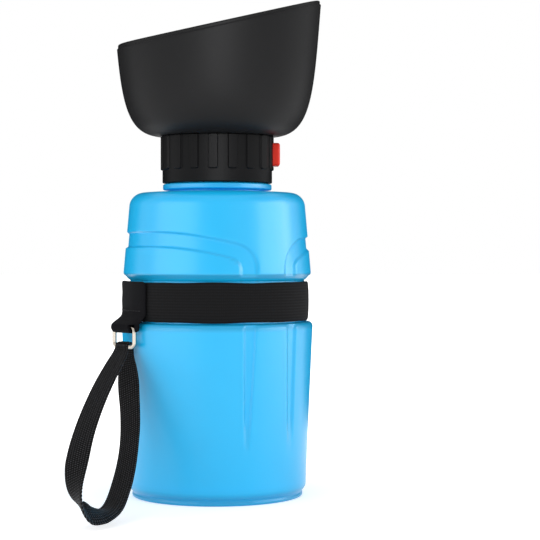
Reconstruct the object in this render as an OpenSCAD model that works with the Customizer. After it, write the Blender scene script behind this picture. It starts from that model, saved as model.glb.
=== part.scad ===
// Travel water bottle for dogs: a squeeze bottle that stands on its base, with a soft rubber
// drinking scoop, a push-button valve in the screw collar, and a wrist strap on an elastic band.
// Millimetres, +Z up. The origin is the middle of the base. +X points to the push button and
// the tall side of the scoop, -Y to the front.

/* [Bottle] */
// Radius of the stand ring at the floor
foot_r = 35.6; // [34:0.1:36.2]
// Radius of the lower body just above its bottom corner
low_r = 37.0; // [36.6:0.1:38]
// Radius of the lower body at its top edge
low_top_r = 39.6; // [39:0.1:40]
// Height of the lower body's top edge
low_top_z = 72.6; // [66:0.1:76]
// Radius of the waist groove
groove_r = 36.3; // [35:0.1:37]
// Width of the waist groove
groove_w = 17.3; // [16.8:0.1:20]
// Radius of the upper body at its lower edge
up_r = 39.2; // [38.6:0.1:40]
// Radius of the upper body below its shoulder
up_top_r = 36.7; // [36:0.1:37.4]
// Height of the upper body from the waist groove to the shoulder's top
up_h = 36.9; // [36:0.1:45]
// Wall thickness of the blow-moulded shell
wall = 1.8; // [1.2:0.1:2.2]
// Depth of the arch ribbons and flutes
relief_d = 0.95; // [0.4:0.05:1]
// Width of the arch ribbons
ribbon_w = 5.3; // [4:0.1:6]
// Height of the push-up under the base
punt_h = 2.6; // [1:0.1:5]

/* [Neck] */
// Outer radius of the neck's threaded length
neck_r = 19.6; // [19.2:0.1:20]
// Radius of the neck's bore
neck_bore_r = 17.4; // [17:0.1:17.6]
// Radius of the support ring under the collar
ring_r = 22.7; // [21.5:0.1:24]
// Thickness of the support ring
ring_t = 2.4; // [1.5:0.1:2.8]
// Length of the neck above the support ring
neck_l = 6.6; // [6:0.1:7]

/* [Collar] */
// Radius of the collar's plain lower skirt
collar_r = 22.9; // [22.5:0.1:24]
// Radius over the collar's grip ribs
rib_r = 23.5; // [23.2:0.1:25]
// Width of a grip rib
rib_w = 3.8; // [2:0.1:4.5]
// Number of grip ribs
rib_count = 18; // [10:1:20]
// Height of the collar
collar_h = 19.2; // [19:0.1:22]
// Height of the plain skirt below the ribs
skirt_h = 6.2; // [4:0.1:7]
// Thickness of the collar's top deck
deck_t = 2.0; // [1.5:0.1:2.5]
// Inner radius of the collar
collar_bore_r = 20.4; // [20.3:0.1:20.8]

/* [Scoop] */
// Thickness of the soft rubber scoop
bowl_t = 2.2; // [1.6:0.1:2.6]
// Height of the scoop's rim above the scoop's floor, at the bottle's axis
bowl_h = 47.4; // [40:0.1:50]
// Slant of the rim, rising to the button's side
rim_slant = 12.2; // [5:0.1:15]
// Radius of the curve by which the rim dips at the front and the back
rim_arc_r = 190; // [150:1:400]

/* [Button and spool] */
// Height of the push button
button_h = 9.6; // [8:0.1:9.8]
// Width of the push button
button_w = 10; // [8:0.1:11]
// How far the button stands out of the collar's skirt
button_out = 3.3; // [2.6:0.1:4]
// Travel of the button
button_travel = 2.2; // [1.5:0.1:2.4]
// Radius of the valve spool
spool_r = 2.3; // [2:0.05:2.35]
// Running clearance round the spool
spool_gap = 0.1; // [0.05:0.01:0.1]

/* [Band, ring and strap] */
// Width of the elastic band
band_w = 16; // [14:0.1:16.8]
// Thickness of the elastic band
band_t = 1.9; // [1.2:0.1:2.1]
// Thickness of the sewn tab
tab_t = 1.4; // [1:0.1:1.6]
// Outer width of the wire ring
dring_w = 12.8; // [12.4:0.1:16]
// Outer height of the wire ring
dring_h = 9.6; // [9.2:0.1:13]
// Thickness of the ring's wire
wire_d = 1.8; // [1.4:0.1:2]
// Width of the strap's webbing
strap_w = 11; // [9:0.1:12]
// Thickness of the strap's webbing
strap_t = 1.2; // [0.8:0.1:1.3]

/* [Hidden] */

// Clearances
seat_gap = 0.1;
side_gap = 0.3;
run_gap = 0.1;

// Heights up the bottle
corner_z = 5.6;
edge_r = 2;
waist_r = min(groove_r, low_top_r - edge_r);
up_low_z = low_top_z + groove_w;
shoulder_r = 4.9;
shoulder_top_z = up_low_z + up_h;
shoulder_z = shoulder_top_z - shoulder_r - 0.3;
neck_z = shoulder_top_z + 1;
ring_z = neck_z + 0.1;
ring_top_z = ring_z + ring_t;
lip_z = ring_top_z + neck_l;
collar_z = ring_top_z + side_gap;
collar_top_z = collar_z + collar_h;

// Stand ring and bottom corner
foot_w = 4.2;
punt_in = 8;
bead_r = 0.6;
bead_z = 1.3;
bead_cut = 0.3;
corner_r = 3.4;

// Relief: the big arch and its foot, the small arch, and the two flutes on each side
arch_h = 16.7;
arch_top_x = -29;
arch_curve = 0.0038;
arch_foot_x = 15.3;
arch_turn_r = 9.5;
arch_in_r = 5;
small_foot_x = 28;
small_foot_h = 5.9;
small_r = 10;
small_in_r = 4.8;
small_h = 18;
small_w = 3.4;
arch_end_x = 45;
flute_low_z = 19.5;
flute_x = [10.7, 28.4];
flute_w = [4.6, 3.5];

// Valve insert
valve_z = lip_z + seat_gap;
flange_top_z = collar_top_z - deck_t;
flange_r = collar_bore_r - side_gap;
plug_r = neck_bore_r - 0.5;
plug_l = 5.3;
plug_bore_r = plug_r - 3.3;
stub_r = 14;
stub_l = 4.7;
chamber_r = stub_r - 2.6;
chamber_z = collar_top_z - 0.8;
seal_d = 1.8;
seal_in = 2.9;
seal_z = valve_z - seal_in;
seal_gap = 0.05;
spool_z = valve_z + 5.1;
bore_r = spool_r + spool_gap;
slot_x = 2.4;
slot_y = 3.6;
spring_pocket_x = 8;
spring_pocket_r = 4;
flange_plate_x = 17.2;
flange_plate_t = 1.8;
flange_plate_w = button_w + 2.4;
button_pocket_x = flange_plate_x - button_travel - 0.4;
button_face_x = collar_r + button_out;
window_gap = 0.25;

// Scoop
floor_z = collar_top_z;
rim_z = floor_z + bowl_h;
belly_low_r = 40;
belly_dip = 0.4;
belly_r = 40.4;
belly_h = 17.5;
mouth_r = 43.7;
mouth_h = 59.8;
lip_h = 1.6;
lip_step = 0.5;
clamp_h = 3.1;
clamp_r = 18.8;
clamp_edge_r = 1;
notch_r = 1.6;

// Outlet
valve_flange_t = 1.2;
dome_r = 4;
dome_t = 1;
dome_foot_r = 5;
slit_l = 4.4;
slit_w = 0.3;
grille_wall = 1.2;
grille_hole_r = 1.3;
grille_edge_hole_r = 1.1;
hole_ring_r = 4.2;
edge_ring_r = 8;

// Facets round turned pieces
$fn = 96;

// Points along an arc round (cx, cz) from angle a0 to angle a1
function arc(cx, cz, r, a0, a1, n = 6) =
  [for (i = [0:n]) let (a = a0 + (a1 - a0) * i / n) [cx + r * cos(a), cz + r * sin(a)]];

// Point of a cubic Bezier curve through four control points
function bezier(p, t) =
  pow(1 - t, 3) * p[0] + 3 * pow(1 - t, 2) * t * p[1] + 3 * (1 - t) * t * t * p[2] + pow(t, 3) * p[3];

// Taper of the two body lengths: radius at a height
function low_radius(z) = low_r + (low_top_r - low_r) * (z - corner_z) / (low_top_z - edge_r - corner_z);
function up_radius(z) =
  let (from_z = up_low_z + edge_r + 1)
  up_r + (up_top_r - up_r) * (z - from_z) / (shoulder_z - from_z);

// Smooth step from 0 to 1
function ease(t) = let (c = min(1, max(0, t))) c * c * (3 - 2 * c);

module rounded_rect(w, h, r) {
  union() {
    square([w - 2 * r, h], center = true);
    square([w, h - 2 * r], center = true);
    for (x = [-1, 1], y = [-1, 1])
      translate([x * (w / 2 - r), y * (h / 2 - r)]) circle(r, $fn = 24);
  }
}

module tube(r_out, r_in, z0, z1) {
  difference() {
    translate([0, 0, z0]) cylinder(r = r_out, h = z1 - z0);
    translate([0, 0, z0 - 1]) cylinder(r = r_in, h = z1 - z0 + 2);
  }
}

// Round seal: a torus of cord diameter d that reaches out to radius r_out
module seal_ring(r_out, d) {
  rotate_extrude() translate([r_out - d / 2, 0]) circle(d / 2, $fn = 24);
}

// Bottle

module bottle_outside() {
  rotate_extrude()
    polygon(concat(
      [[0, punt_h], [foot_r - punt_in, punt_h], [foot_r - foot_w, 0]],
      arc(foot_r - bead_r, bead_r, bead_r, -90, 0, 3),
      [[foot_r, bead_z], [foot_r - bead_cut, bead_z + 0.4]],
      arc(low_r - corner_r, corner_z - 0.4, corner_r, -55, 0, 5),
      arc(low_top_r - edge_r, low_top_z - edge_r, edge_r, 2, 68, 5),
      [[groove_r, low_top_z], [groove_r, up_low_z]],
      arc(up_r - edge_r, up_low_z + edge_r + 0.7, edge_r, -60, -3, 5),
      arc(up_top_r - shoulder_r, shoulder_z, shoulder_r, 3, 86, 7),
      [
        [neck_r + 1, neck_z - 0.3], [neck_r + 0.2, neck_z], [neck_r + 0.2, ring_z],
        [ring_r - 0.5, ring_z], [ring_r, ring_z + 0.5], [ring_r, ring_top_z - 0.6],
        [ring_r - 0.6, ring_top_z], [neck_r, ring_top_z], [neck_r, lip_z - 0.4],
        [neck_r - 0.4, lip_z], [0, lip_z]
      ]
    ));
}

module bottle_inside() {
  rotate_extrude()
    polygon(concat(
      [[0, punt_h + wall], [foot_r - punt_in + 1, punt_h + wall], [foot_r - foot_w + 0.2, wall + 0.2]],
      arc(low_r - wall - 3, corner_z, 3, -80, 0, 4),
      [
        [low_top_r - wall, low_top_z - edge_r - wall],
        [waist_r - wall, low_top_z - wall],
        [waist_r - wall, up_low_z + wall],
        [up_r - wall, up_low_z + wall + edge_r]
      ],
      arc(up_top_r - shoulder_r, shoulder_z, shoulder_r - wall, 0, 86, 5),
      [[neck_bore_r, neck_z - wall - 0.2], [neck_bore_r, lip_z + 1], [0, lip_z + 1]]
    ));
}

// Upper edge of the big arch: a slow parabola that turns down into an upright foot
function big_arch(foot_x, rise, r) =
  let (
    top_z = up_low_z + arch_h + rise,
    cx = foot_x - r,
    x_t = cx + r * cos(74),
    cz = top_z - arch_curve * pow(x_t - arch_top_x, 2) - r * sin(74)
  )
  concat(
    [[-arch_end_x, up_low_z - 4]],
    [
      for (x = [-arch_end_x, -38, -30, -22, -14, -6, 1])
        [x, top_z - arch_curve * pow(x - arch_top_x, 2)]
    ],
    arc(cx, cz, r, 74, 0, 6),
    [[foot_x, up_low_z - 4]]
  );

// Upper edge of the small arch that goes round the button's side
function small_arch(foot_x, r, z_end) =
  concat(
    [[foot_x, up_low_z - 4]],
    arc(foot_x + r, up_low_z + small_foot_h, r, 180, 124, 5),
    [[arch_end_x, z_end], [arch_end_x, up_low_z - 4]]
  );

module arch_ribbons() {
  rotate([90, 0, 0]) translate([0, 0, -50]) linear_extrude(100)
    union() {
      difference() {
        polygon(big_arch(arch_foot_x, ribbon_w / 2, arch_turn_r));
        polygon(big_arch(arch_foot_x - ribbon_w * 0.95, -ribbon_w / 2, arch_in_r));
      }
      difference() {
        polygon(small_arch(small_foot_x, small_r, up_low_z + small_h));
        polygon(small_arch(small_foot_x + small_w, small_in_r, up_low_z + small_h - ribbon_w - 0.3));
      }
    }
}

// Long narrow flutes that run down from the arch feet and close to a point
module flutes() {
  top = low_top_z + 1;
  low = flute_low_z;
  rotate([90, 0, 0]) translate([0, 0, -50]) linear_extrude(100)
    union() {
      for (i = [0, 1]) let (x = flute_x[i], w = flute_w[i])
        polygon([
          [x, top], [x + w, top], [x + w - 0.4, top - 11.6],
          [x + 1.9, low + 2.5], [x + 1, low], [x + 0.3, low + 2.5]
        ]);
    }
}

// Skin of the body from the relief's floor outwards, over the heights that carry relief
module relief_skin() {
  difference() {
    tube(45, 30, corner_z + 8, shoulder_z - 2);
    rotate_extrude()
      polygon([
        [0, 0], [low_radius(0) - relief_d, 0],
        [low_radius(low_top_z) - relief_d, low_top_z], [0, low_top_z]
      ]);
    rotate_extrude()
      polygon([
        [0, low_top_z - 5], [groove_r - relief_d, low_top_z - 5],
        [groove_r - relief_d, up_low_z], [0, up_low_z]
      ]);
    rotate_extrude()
      polygon([
        [0, up_low_z - 0.2], [up_r - relief_d, up_low_z - 0.2],
        [up_radius(shoulder_z) - relief_d, shoulder_z], [0, shoulder_z]
      ]);
  }
}

module bottle() {
  color("#43C0FF")
    difference() {
      bottle_outside();
      bottle_inside();
      intersection() {
        relief_skin();
        union() {
          intersection() {
            arch_ribbons();
            translate([0, 0, up_low_z + 0.6]) cylinder(r = 50, h = up_h);
          }
          flutes();
        }
      }
    }
}

// Elastic band, tab, ring and strap

band_z = low_top_z + (groove_w - band_w) / 2;
band_in_r = groove_r + seat_gap;
band_r = band_in_r + band_t;
tab_in_r = band_r + seat_gap;
tab_r = tab_in_r + tab_t;
tab_from = 170;
tab_to = 222.5;

module elastic_band() {
  color("#1A1A1C")
    rotate_extrude()
      polygon(concat(
        [[band_in_r, band_z], [band_r - 0.5, band_z]],
        arc(band_r - 0.5, band_z + 0.5, 0.5, -60, 0, 2),
        [[band_r + 0.05, band_z + band_w / 2]],
        arc(band_r - 0.5, band_z + band_w - 0.5, 0.5, 0, 60, 2),
        [[band_r - 0.5, band_z + band_w], [band_in_r, band_z + band_w]]
      ));
}

// The hem hangs just outside the lower body's top edge, on the front left
hem_turn = 140;
hem_at = 210.67;
hem_r = 2.3;
hem_clear = 1.815;
hem_dist = low_top_r + hem_r + hem_clear;
hem_drop = 1.6;
hem_z = low_top_z - hem_drop;
lobe_r = 1.5;
hem_x = hem_dist * cos(hem_at);
hem_y = hem_dist * sin(hem_at);
ring_bend_r = 1.8;
wire_straight = dring_w - wire_d - 2 * ring_bend_r;
wire_drop = dring_h - wire_d;
arm_x = dring_w / 2 - wire_d / 2;
hem_half = wire_straight / 2 + 0.1;

module at_hem() {
  translate([hem_x, hem_y, hem_z]) rotate([0, 0, hem_turn]) children();
}

// Curved patch of the tab's fabric between two radii and two angles
module tab_patch(z0, z1, a0, a1, r_in, r_out) {
  rotate([0, 0, a0]) rotate_extrude(angle = a1 - a0)
    polygon([[r_in, z0], [r_out, z0], [r_out, z1 - 0.8], [r_out - 0.6, z1], [r_in, z1]]);
}

// Fabric that runs from the patch's lower edge round the hem, kept clear of the band
module hem_lobe(z0) {
  difference() {
    hull() {
      tab_patch(z0, z0 + 2, tab_from + 16, tab_to - 0.6, tab_in_r + 0.4, tab_r - 0.35, $fn = 32);
      at_hem() {
        rotate([0, 90, 0]) cylinder(r = hem_r, h = 2 * hem_half, center = true, $fn = 24);
        translate([-arm_x - 2.6, 0, lobe_r + 0.1]) sphere(lobe_r - 0.1, $fn = 16);
        translate([arm_x + 0.6, 0, lobe_r]) sphere(lobe_r, $fn = 16);
      }
    }
    translate([0, 0, low_top_z]) cylinder(r = tab_in_r + 0.2, h = groove_w);
  }
}

module band_tab() {
  tab_low_z = low_top_z + 0.3;
  notch_w = arm_x + wire_d / 2 + 0.2 - hem_half;
  notch_top = wire_d / 2 + 0.3;
  deep = 20;
  color("#17171A")
    difference() {
      union() {
        tab_patch(tab_low_z, band_z + band_w + 0.3, tab_from, tab_to, tab_in_r, tab_r);
        hem_lobe(tab_low_z + 0.2);
      }
      // Room for the lower body's edge, and for the ring's wire and arms
      translate([0, 0, low_top_z - deep]) cylinder(r = low_top_r + seat_gap, h = deep + 0.15);
      at_hem() {
        rotate([0, 90, 0]) cylinder(r = wire_d / 2 + run_gap, h = 2 * deep, center = true);
        for (side = [0, 1])
          mirror([side, 0, 0])
            translate([hem_half, -deep, -deep])
              cube([notch_w, 2 * deep, deep + notch_top]);
      }
    }
}

module d_ring() {
  side_l = wire_drop - 2 * ring_bend_r;
  color("#C8CACC")
    at_hem() union() {
      for (z = [0, -wire_drop])
        translate([0, 0, z]) rotate([0, 90, 0])
          cylinder(d = wire_d, h = wire_straight, center = true, $fn = 32);
      for (x = [-arm_x, arm_x])
        translate([x, 0, -wire_drop / 2]) cylinder(d = wire_d, h = side_l, center = true, $fn = 32);
      for (sx = [0, 1], sz = [0, 1])
        mirror([sx, 0, 0]) translate([wire_straight / 2, 0, -wire_drop / 2]) mirror([0, 0, sz])
          translate([0, 0, side_l / 2]) rotate([90, 0, 0]) rotate_extrude(angle = 90, $fn = 48)
            translate([ring_bend_r, 0]) circle(d = wire_d, $fn = 32);
    }
}

// Middle line of the webbing, from the front of the ring's lower wire, down to the floor and
// back up to its rear side, with that wire at drawn_wire
drawn_wire = [-37.6, -22.3, 63.2];
strap_points = [
  [-38.6, -23.5, 63.2], [-39.2, -26.4, 60.8], [-41.0, -34.6, 57.0], [-43.8, -46.2, 51.2],
  [-46.4, -57.2, 44.9], [-48.7, -67.7, 38.2], [-50.5, -77.4, 31.2], [-51.6, -85.6, 23.8],
  [-51.6, -91.0, 16.6], [-50.0, -93.0, 10.4], [-47.2, -91.4, 5.0], [-43.9, -86.2, 2.5],
  [-40.4, -77.5, 4.2], [-37.5, -66.6, 9.6], [-35.7, -56.0, 16.8], [-34.7, -47.5, 24.2],
  [-34.4, -40.6, 31.2], [-34.7, -35.3, 38.2], [-35.3, -31.0, 45.0], [-36.0, -27.0, 51.6],
  [-36.6, -23.4, 57.8], [-36.6, -21.1, 63.2]
];
// The route follows the wire: across with it, and in height by its share
strap_route = [
  for (p = strap_points)
    [
      p[0] + hem_x - drawn_wire[0],
      p[1] + hem_y - drawn_wire[1],
      p[2] * (hem_z - wire_drop) / drawn_wire[2]
    ]
];
strap_steps = 3;
fold_w = wire_straight - 0.2;
// Way the webbing's width runs: along the ring's wire at the ends, tilted in the loop
width_at_ring = [cos(hem_turn), sin(hem_turn), 0];
width_in_loop = [-0.866, 0.386, -0.319];

// Catmull-Rom point on the route, at i steps from its start
function route_point(i) =
  let (
    n = len(strap_route) - 1,
    k = min(n - 1, floor(i / strap_steps)),
    t = i / strap_steps - k,
    p0 = strap_route[max(0, k - 1)],
    p1 = strap_route[k],
    p2 = strap_route[k + 1],
    p3 = strap_route[min(n, k + 2)]
  )
  0.5 * (2 * p1 + (p2 - p0) * t + (2 * p0 - 5 * p1 + 4 * p2 - p3) * t * t
    + (3 * p1 - p0 - 3 * p2 + p3) * t * t * t);

function unit(v) = v / norm(v);

// Four corners of the webbing's section at each step; at the ring its width lies along the wire
function strap_ring(i, count) =
  let (
    p = route_point(i),
    tangent = route_point(min(count, i + 0.5)) - route_point(max(0, i - 0.5)),
    free = ease(min(i, count - i) / (strap_steps * 3)),
    w = unit(width_at_ring * (1 - free) + width_in_loop * free),
    out = unit(cross(tangent, w)),
    thick = out * strap_t / 2 * (0.85 + 0.15 * free),
    square_on = unit(cross(out, tangent)),
    wide = unit(w * (1 - free) + square_on * free) * (fold_w + (strap_w - fold_w) * free) / 2
  )
  [p - wide - thick, p + wide - thick, p + wide + thick, p - wide + thick];

module wrist_strap() {
  count = strap_steps * (len(strap_route) - 1);
  points = [for (i = [0:count]) each strap_ring(i, count)];
  sides = [
    for (i = [0:count - 1], k = [0:3]) let (a = 4 * i + k, b = 4 * i + (k + 1) % 4)
      each [[a, b + 4, b], [a, a + 4, b + 4]]
  ];
  last = 4 * count;
  caps = [[0, 2, 3], [0, 1, 2], [last, last + 2, last + 1], [last, last + 3, last + 2]];
  color("#141416") {
    polyhedron(points, concat(sides, caps));
    at_hem() translate([0, 0, -wire_drop]) rotate([0, 90, 0])
      difference() {
        cylinder(r = wire_d / 2 + run_gap + strap_t, h = fold_w, center = true, $fn = 32);
        cylinder(r = wire_d / 2 + run_gap, h = 20, center = true, $fn = 32);
      }
  }
}

// Collar and valve

rib_phase = -94.3;

module grip_rib() {
  rotate([90, 0, 90])
    translate([0, skirt_h + (collar_h - skirt_h + 3) / 2, collar_r - 1])
      linear_extrude(4) rounded_rect(rib_w, collar_h - skirt_h + 3, 0.8);
}

module screw_collar() {
  color("#1E1F21")
    difference() {
      union() {
        translate([0, 0, collar_z]) cylinder(r = collar_r, h = collar_h);
        translate([0, 0, collar_z])
          intersection() {
            cylinder(r = rib_r, h = collar_h);
            for (i = [0:rib_count - 1]) rotate([0, 0, rib_phase + i * 360 / rib_count]) grip_rib();
          }
      }
      translate([0, 0, collar_z - 1]) cylinder(r = collar_bore_r, h = collar_h - deck_t + 1);
      translate([0, 0, collar_z]) cylinder(r = stub_r + 0.4, h = collar_h + 1);
      translate([collar_bore_r - 3, 0, spool_z]) rotate([90, 0, 90])
        linear_extrude(10) rounded_rect(button_w + 2 * window_gap, button_h + 2 * window_gap, 1);
    }
}

module valve_body() {
  color("#26282A")
    difference() {
      union() {
        difference() {
          translate([0, 0, valve_z]) cylinder(r = flange_r, h = flange_top_z - valve_z);
          translate([button_pocket_x, -flange_plate_w / 2 - 0.4, valve_z - 1])
            cube([20, flange_plate_w + 0.8, flange_top_z - valve_z + 1 - 0.7]);
        }
        translate([0, 0, valve_z - plug_l]) cylinder(r = plug_r, h = plug_l);
        translate([0, 0, flange_top_z]) cylinder(r = stub_r, h = collar_top_z + stub_l - flange_top_z);
      }
      // Hollow of the plug, outlet chamber and the channel between them
      translate([0, 0, valve_z - plug_l - 1]) cylinder(r = plug_bore_r, h = plug_l + 2.7);
      translate([0, 0, chamber_z]) cylinder(r = chamber_r, h = 20);
      translate([-slot_x / 2, -slot_y / 2, valve_z]) cube([slot_x, slot_y, 16]);
      // Seal groove round the plug
      translate([0, 0, seal_z]) rotate_extrude()
        polygon([
          [plug_r - 1.4, -seal_d / 2 - 0.1], [plug_r + 1, -seal_d / 2 - 0.1],
          [plug_r + 1, seal_d / 2 + 0.1], [plug_r - 1.4, seal_d / 2 + 0.1]
        ]);
      // Spool bore and the spring's pocket
      translate([spool_in_x - button_travel - 0.4, 0, spool_z]) rotate([0, 90, 0])
        cylinder(r = bore_r, h = button_pocket_x - spool_in_x + button_travel + 1);
      translate([spring_pocket_x, 0, spool_z]) rotate([0, 90, 0])
        cylinder(r = spring_pocket_r, h = button_pocket_x - spring_pocket_x + 1);
    }
}

module plug_seal() {
  color("#E6E2DA") translate([0, 0, seal_z]) seal_ring(neck_bore_r - seal_gap, seal_d);
}

// Spool: solid lands that shut the channel, a waist that opens it, two seal grooves
spool_in_x = -8;
waist_x = slot_x / 2 + 0.25;
waist_l = 3.6;
small_seal_d = 0.9;
seal_in_x = -4.5;
seal_out_x = 6.6;
pin_r = 1.6;
pin_end_x = 21;

module valve_spool() {
  color("#D9D9D6")
    translate([0, 0, spool_z]) rotate([0, 90, 0])
      difference() {
        union() {
          translate([0, 0, spool_in_x]) cylinder(r = spool_r, h = flange_plate_x - spool_in_x);
          translate([0, 0, flange_plate_x - 1]) cylinder(r = pin_r, h = pin_end_x - flange_plate_x + 1);
        }
        tube(spool_r + 1, spool_r - 1.1, waist_x, waist_x + waist_l);
        for (x = [seal_in_x, seal_out_x])
          tube(spool_r + 1, spool_r - 0.9, x - small_seal_d / 2 - 0.05, x + small_seal_d / 2 + 0.05);
      }
}

module spool_seal(x) {
  color("#2E2E30")
    translate([x, 0, spool_z]) rotate([0, 90, 0]) seal_ring(bore_r - seal_gap, small_seal_d);
}

module flow_button() {
  head_x = flange_plate_x + flange_plate_t;
  color("#E4453B")
    translate([0, 0, spool_z]) difference() {
      union() {
        translate([flange_plate_x, 0, 0]) rotate([90, 0, 90])
          linear_extrude(flange_plate_t) rounded_rect(flange_plate_w, button_h - 0.4, 1);
        translate([head_x - 0.5, 0, 0]) rotate([90, 0, 90])
          linear_extrude(button_face_x - head_x) rounded_rect(button_w, button_h, 1);
        translate([head_x, 0, 0]) rotate([90, 0, 90])
          linear_extrude(button_face_x - head_x) rounded_rect(button_w - 1, button_h - 1, 1);
      }
      translate([flange_plate_x - 1, 0, 0]) rotate([0, 90, 0])
        cylinder(r = pin_r + 0.05, h = pin_end_x - flange_plate_x + 1.1);
    }
}

// Coil spring between the pocket's floor and the button, as one unbroken wire
spring_turns = 6;
spring_wire_d = 0.7;
spring_mean_r = 3.25;

module button_spring() {
  rings = spring_turns * 8;
  sides = 6;
  from_x = spring_pocket_x + spring_wire_d / 2 + 0.05;
  to_x = flange_plate_x - spring_wire_d / 2 - 0.05;
  points = [
    for (i = [0:rings], k = [0:sides - 1])
      let (
        a = 360 * i / 8,
        s = 360 * k / sides,
        r = spring_mean_r + spring_wire_d / 2 * cos(s),
        x = from_x + (to_x - from_x) * i / rings + spring_wire_d / 2 * sin(s)
      )
      [x, r * cos(a), spool_z + r * sin(a)]
  ];
  faces = concat(
    [
      for (i = [0:rings - 1], k = [0:sides - 1])
        let (a = sides * i + k, b = sides * i + (k + 1) % sides)
        each [[a, b + sides, b], [a, a + sides, b + sides]]
    ],
    [for (k = [1:sides - 2]) [0, k, k + 1]],
    [for (k = [1:sides - 2]) [sides * rings, sides * rings + k + 1, sides * rings + k]]
  );
  color("#B9BCBE") polyhedron(points, faces);
}

// Scoop and outlet

// Solid turned form of the scoop, with its wall drawn in by a given amount
module scoop_form(inset) {
  p = [
    [collar_r - inset, floor_z + inset], [belly_low_r - inset, floor_z - belly_dip + inset],
    [belly_r - inset, floor_z + belly_h], [mouth_r - inset, floor_z + mouth_h]
  ];
  steps = 24;
  rotate_extrude()
    polygon(concat(
      [[0, floor_z + inset]],
      [for (i = [0:steps]) bezier(p, i / steps)],
      [[0, floor_z + mouth_h]]
    ));
}

// Everything below the slanted rim, which dips a little at the front and the back
module below_rim(drop) {
  reach = 2.3 * mouth_r;
  translate([0, 0, rim_z - drop]) rotate([0, -rim_slant, 0])
    translate([-reach, 0, -rim_arc_r]) rotate([0, 90, 0])
      cylinder(r = rim_arc_r, h = 2 * reach, $fn = 192);
}

module bowl() {
  color("#262628")
    difference() {
      union() {
        intersection() {
          scoop_form(0);
          below_rim(lip_h);
        }
        intersection() {
          scoop_form(lip_step);
          below_rim(0);
        }
      }
      scoop_form(bowl_t);
      translate([0, 0, floor_z - 1]) cylinder(r = stub_r + 0.3, h = bowl_t + 2);
    }
}

clamp_z = floor_z + bowl_t;

module bowl_clamp() {
  color("#222426")
    difference() {
      rotate_extrude()
        polygon(concat(
          [[stub_r + side_gap, clamp_z], [clamp_r, clamp_z]],
          arc(clamp_r - clamp_edge_r, clamp_z + clamp_h - clamp_edge_r, clamp_edge_r, 0, 90, 4),
          [[stub_r + side_gap, clamp_z + clamp_h]]
        ));
      for (i = [0:7]) rotate([0, 0, i * 45])
        translate([clamp_r + 0.6, 0, clamp_z - 1]) cylinder(r = notch_r, h = clamp_h + 2, $fn = 32);
    }
}

module outlet_valve() {
  z0 = chamber_z;
  color("#EDEAE2")
    translate([0, 0, z0]) difference() {
      rotate_extrude()
        polygon(concat(
          [
            [slot_y / 2 + 0.4, 0], [chamber_r - 0.2, 0],
            [chamber_r - 0.2, valve_flange_t], [dome_foot_r, valve_flange_t]
          ],
          arc(0, valve_flange_t - 0.4, dome_r, 12, 90, 6),
          arc(0, valve_flange_t - 0.4, dome_r - dome_t, 90, 10, 5)
        ));
      for (a = [0, 90]) rotate([0, 0, a])
        translate([-slit_l / 2, -slit_w / 2, valve_flange_t]) cube([slit_l, slit_w, 2 * dome_r]);
    }
}

module outlet_grille() {
  top_z = collar_top_z + stub_l;
  ring_low_z = chamber_z + valve_flange_t;
  color("#2A2C2E")
    difference() {
      union() {
        tube(chamber_r - 0.1, chamber_r - 0.1 - grille_wall, ring_low_z, top_z);
        rotate_extrude()
          polygon([
            [0, top_z], [stub_r - 0.2, top_z], [stub_r - 0.2, top_z + 0.5],
            [stub_r - 1, top_z + 1], [0, top_z + 1.3]
          ]);
      }
      translate([0, 0, top_z - 2]) cylinder(r = grille_hole_r, h = 5, $fn = 32);
      for (i = [0:5]) rotate([0, 0, i * 60])
        translate([hole_ring_r, 0, top_z - 2]) cylinder(r = grille_hole_r, h = 5, $fn = 32);
      for (i = [0:11]) rotate([0, 0, i * 30 + 15])
        translate([edge_ring_r, 0, top_z - 2]) cylinder(r = grille_edge_hole_r, h = 5, $fn = 32);
    }
}

bottle();
elastic_band();
band_tab();
d_ring();
wrist_strap();
screw_collar();
valve_body();
plug_seal();
bowl();
bowl_clamp();
outlet_valve();
outlet_grille();
flow_button();
valve_spool();
spool_seal(seal_in_x);  // spool_seal_inner
spool_seal(seal_out_x);  // spool_seal_outer
button_spring();
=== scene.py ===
"""Looks of a travel water bottle for dogs: a squeeze bottle with a soft drinking scoop, a push-button
valve in its screw collar, and a wrist strap on an elastic band.

Shapes are worked out in millimetres, as arrays, and become meshes in metres. +Z is up, +X points to
the push button and the tall side of the scoop, and -Y points to the camera.
"""
import math

import bpy
import numpy as np
from mathutils import Matrix, Vector


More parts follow.
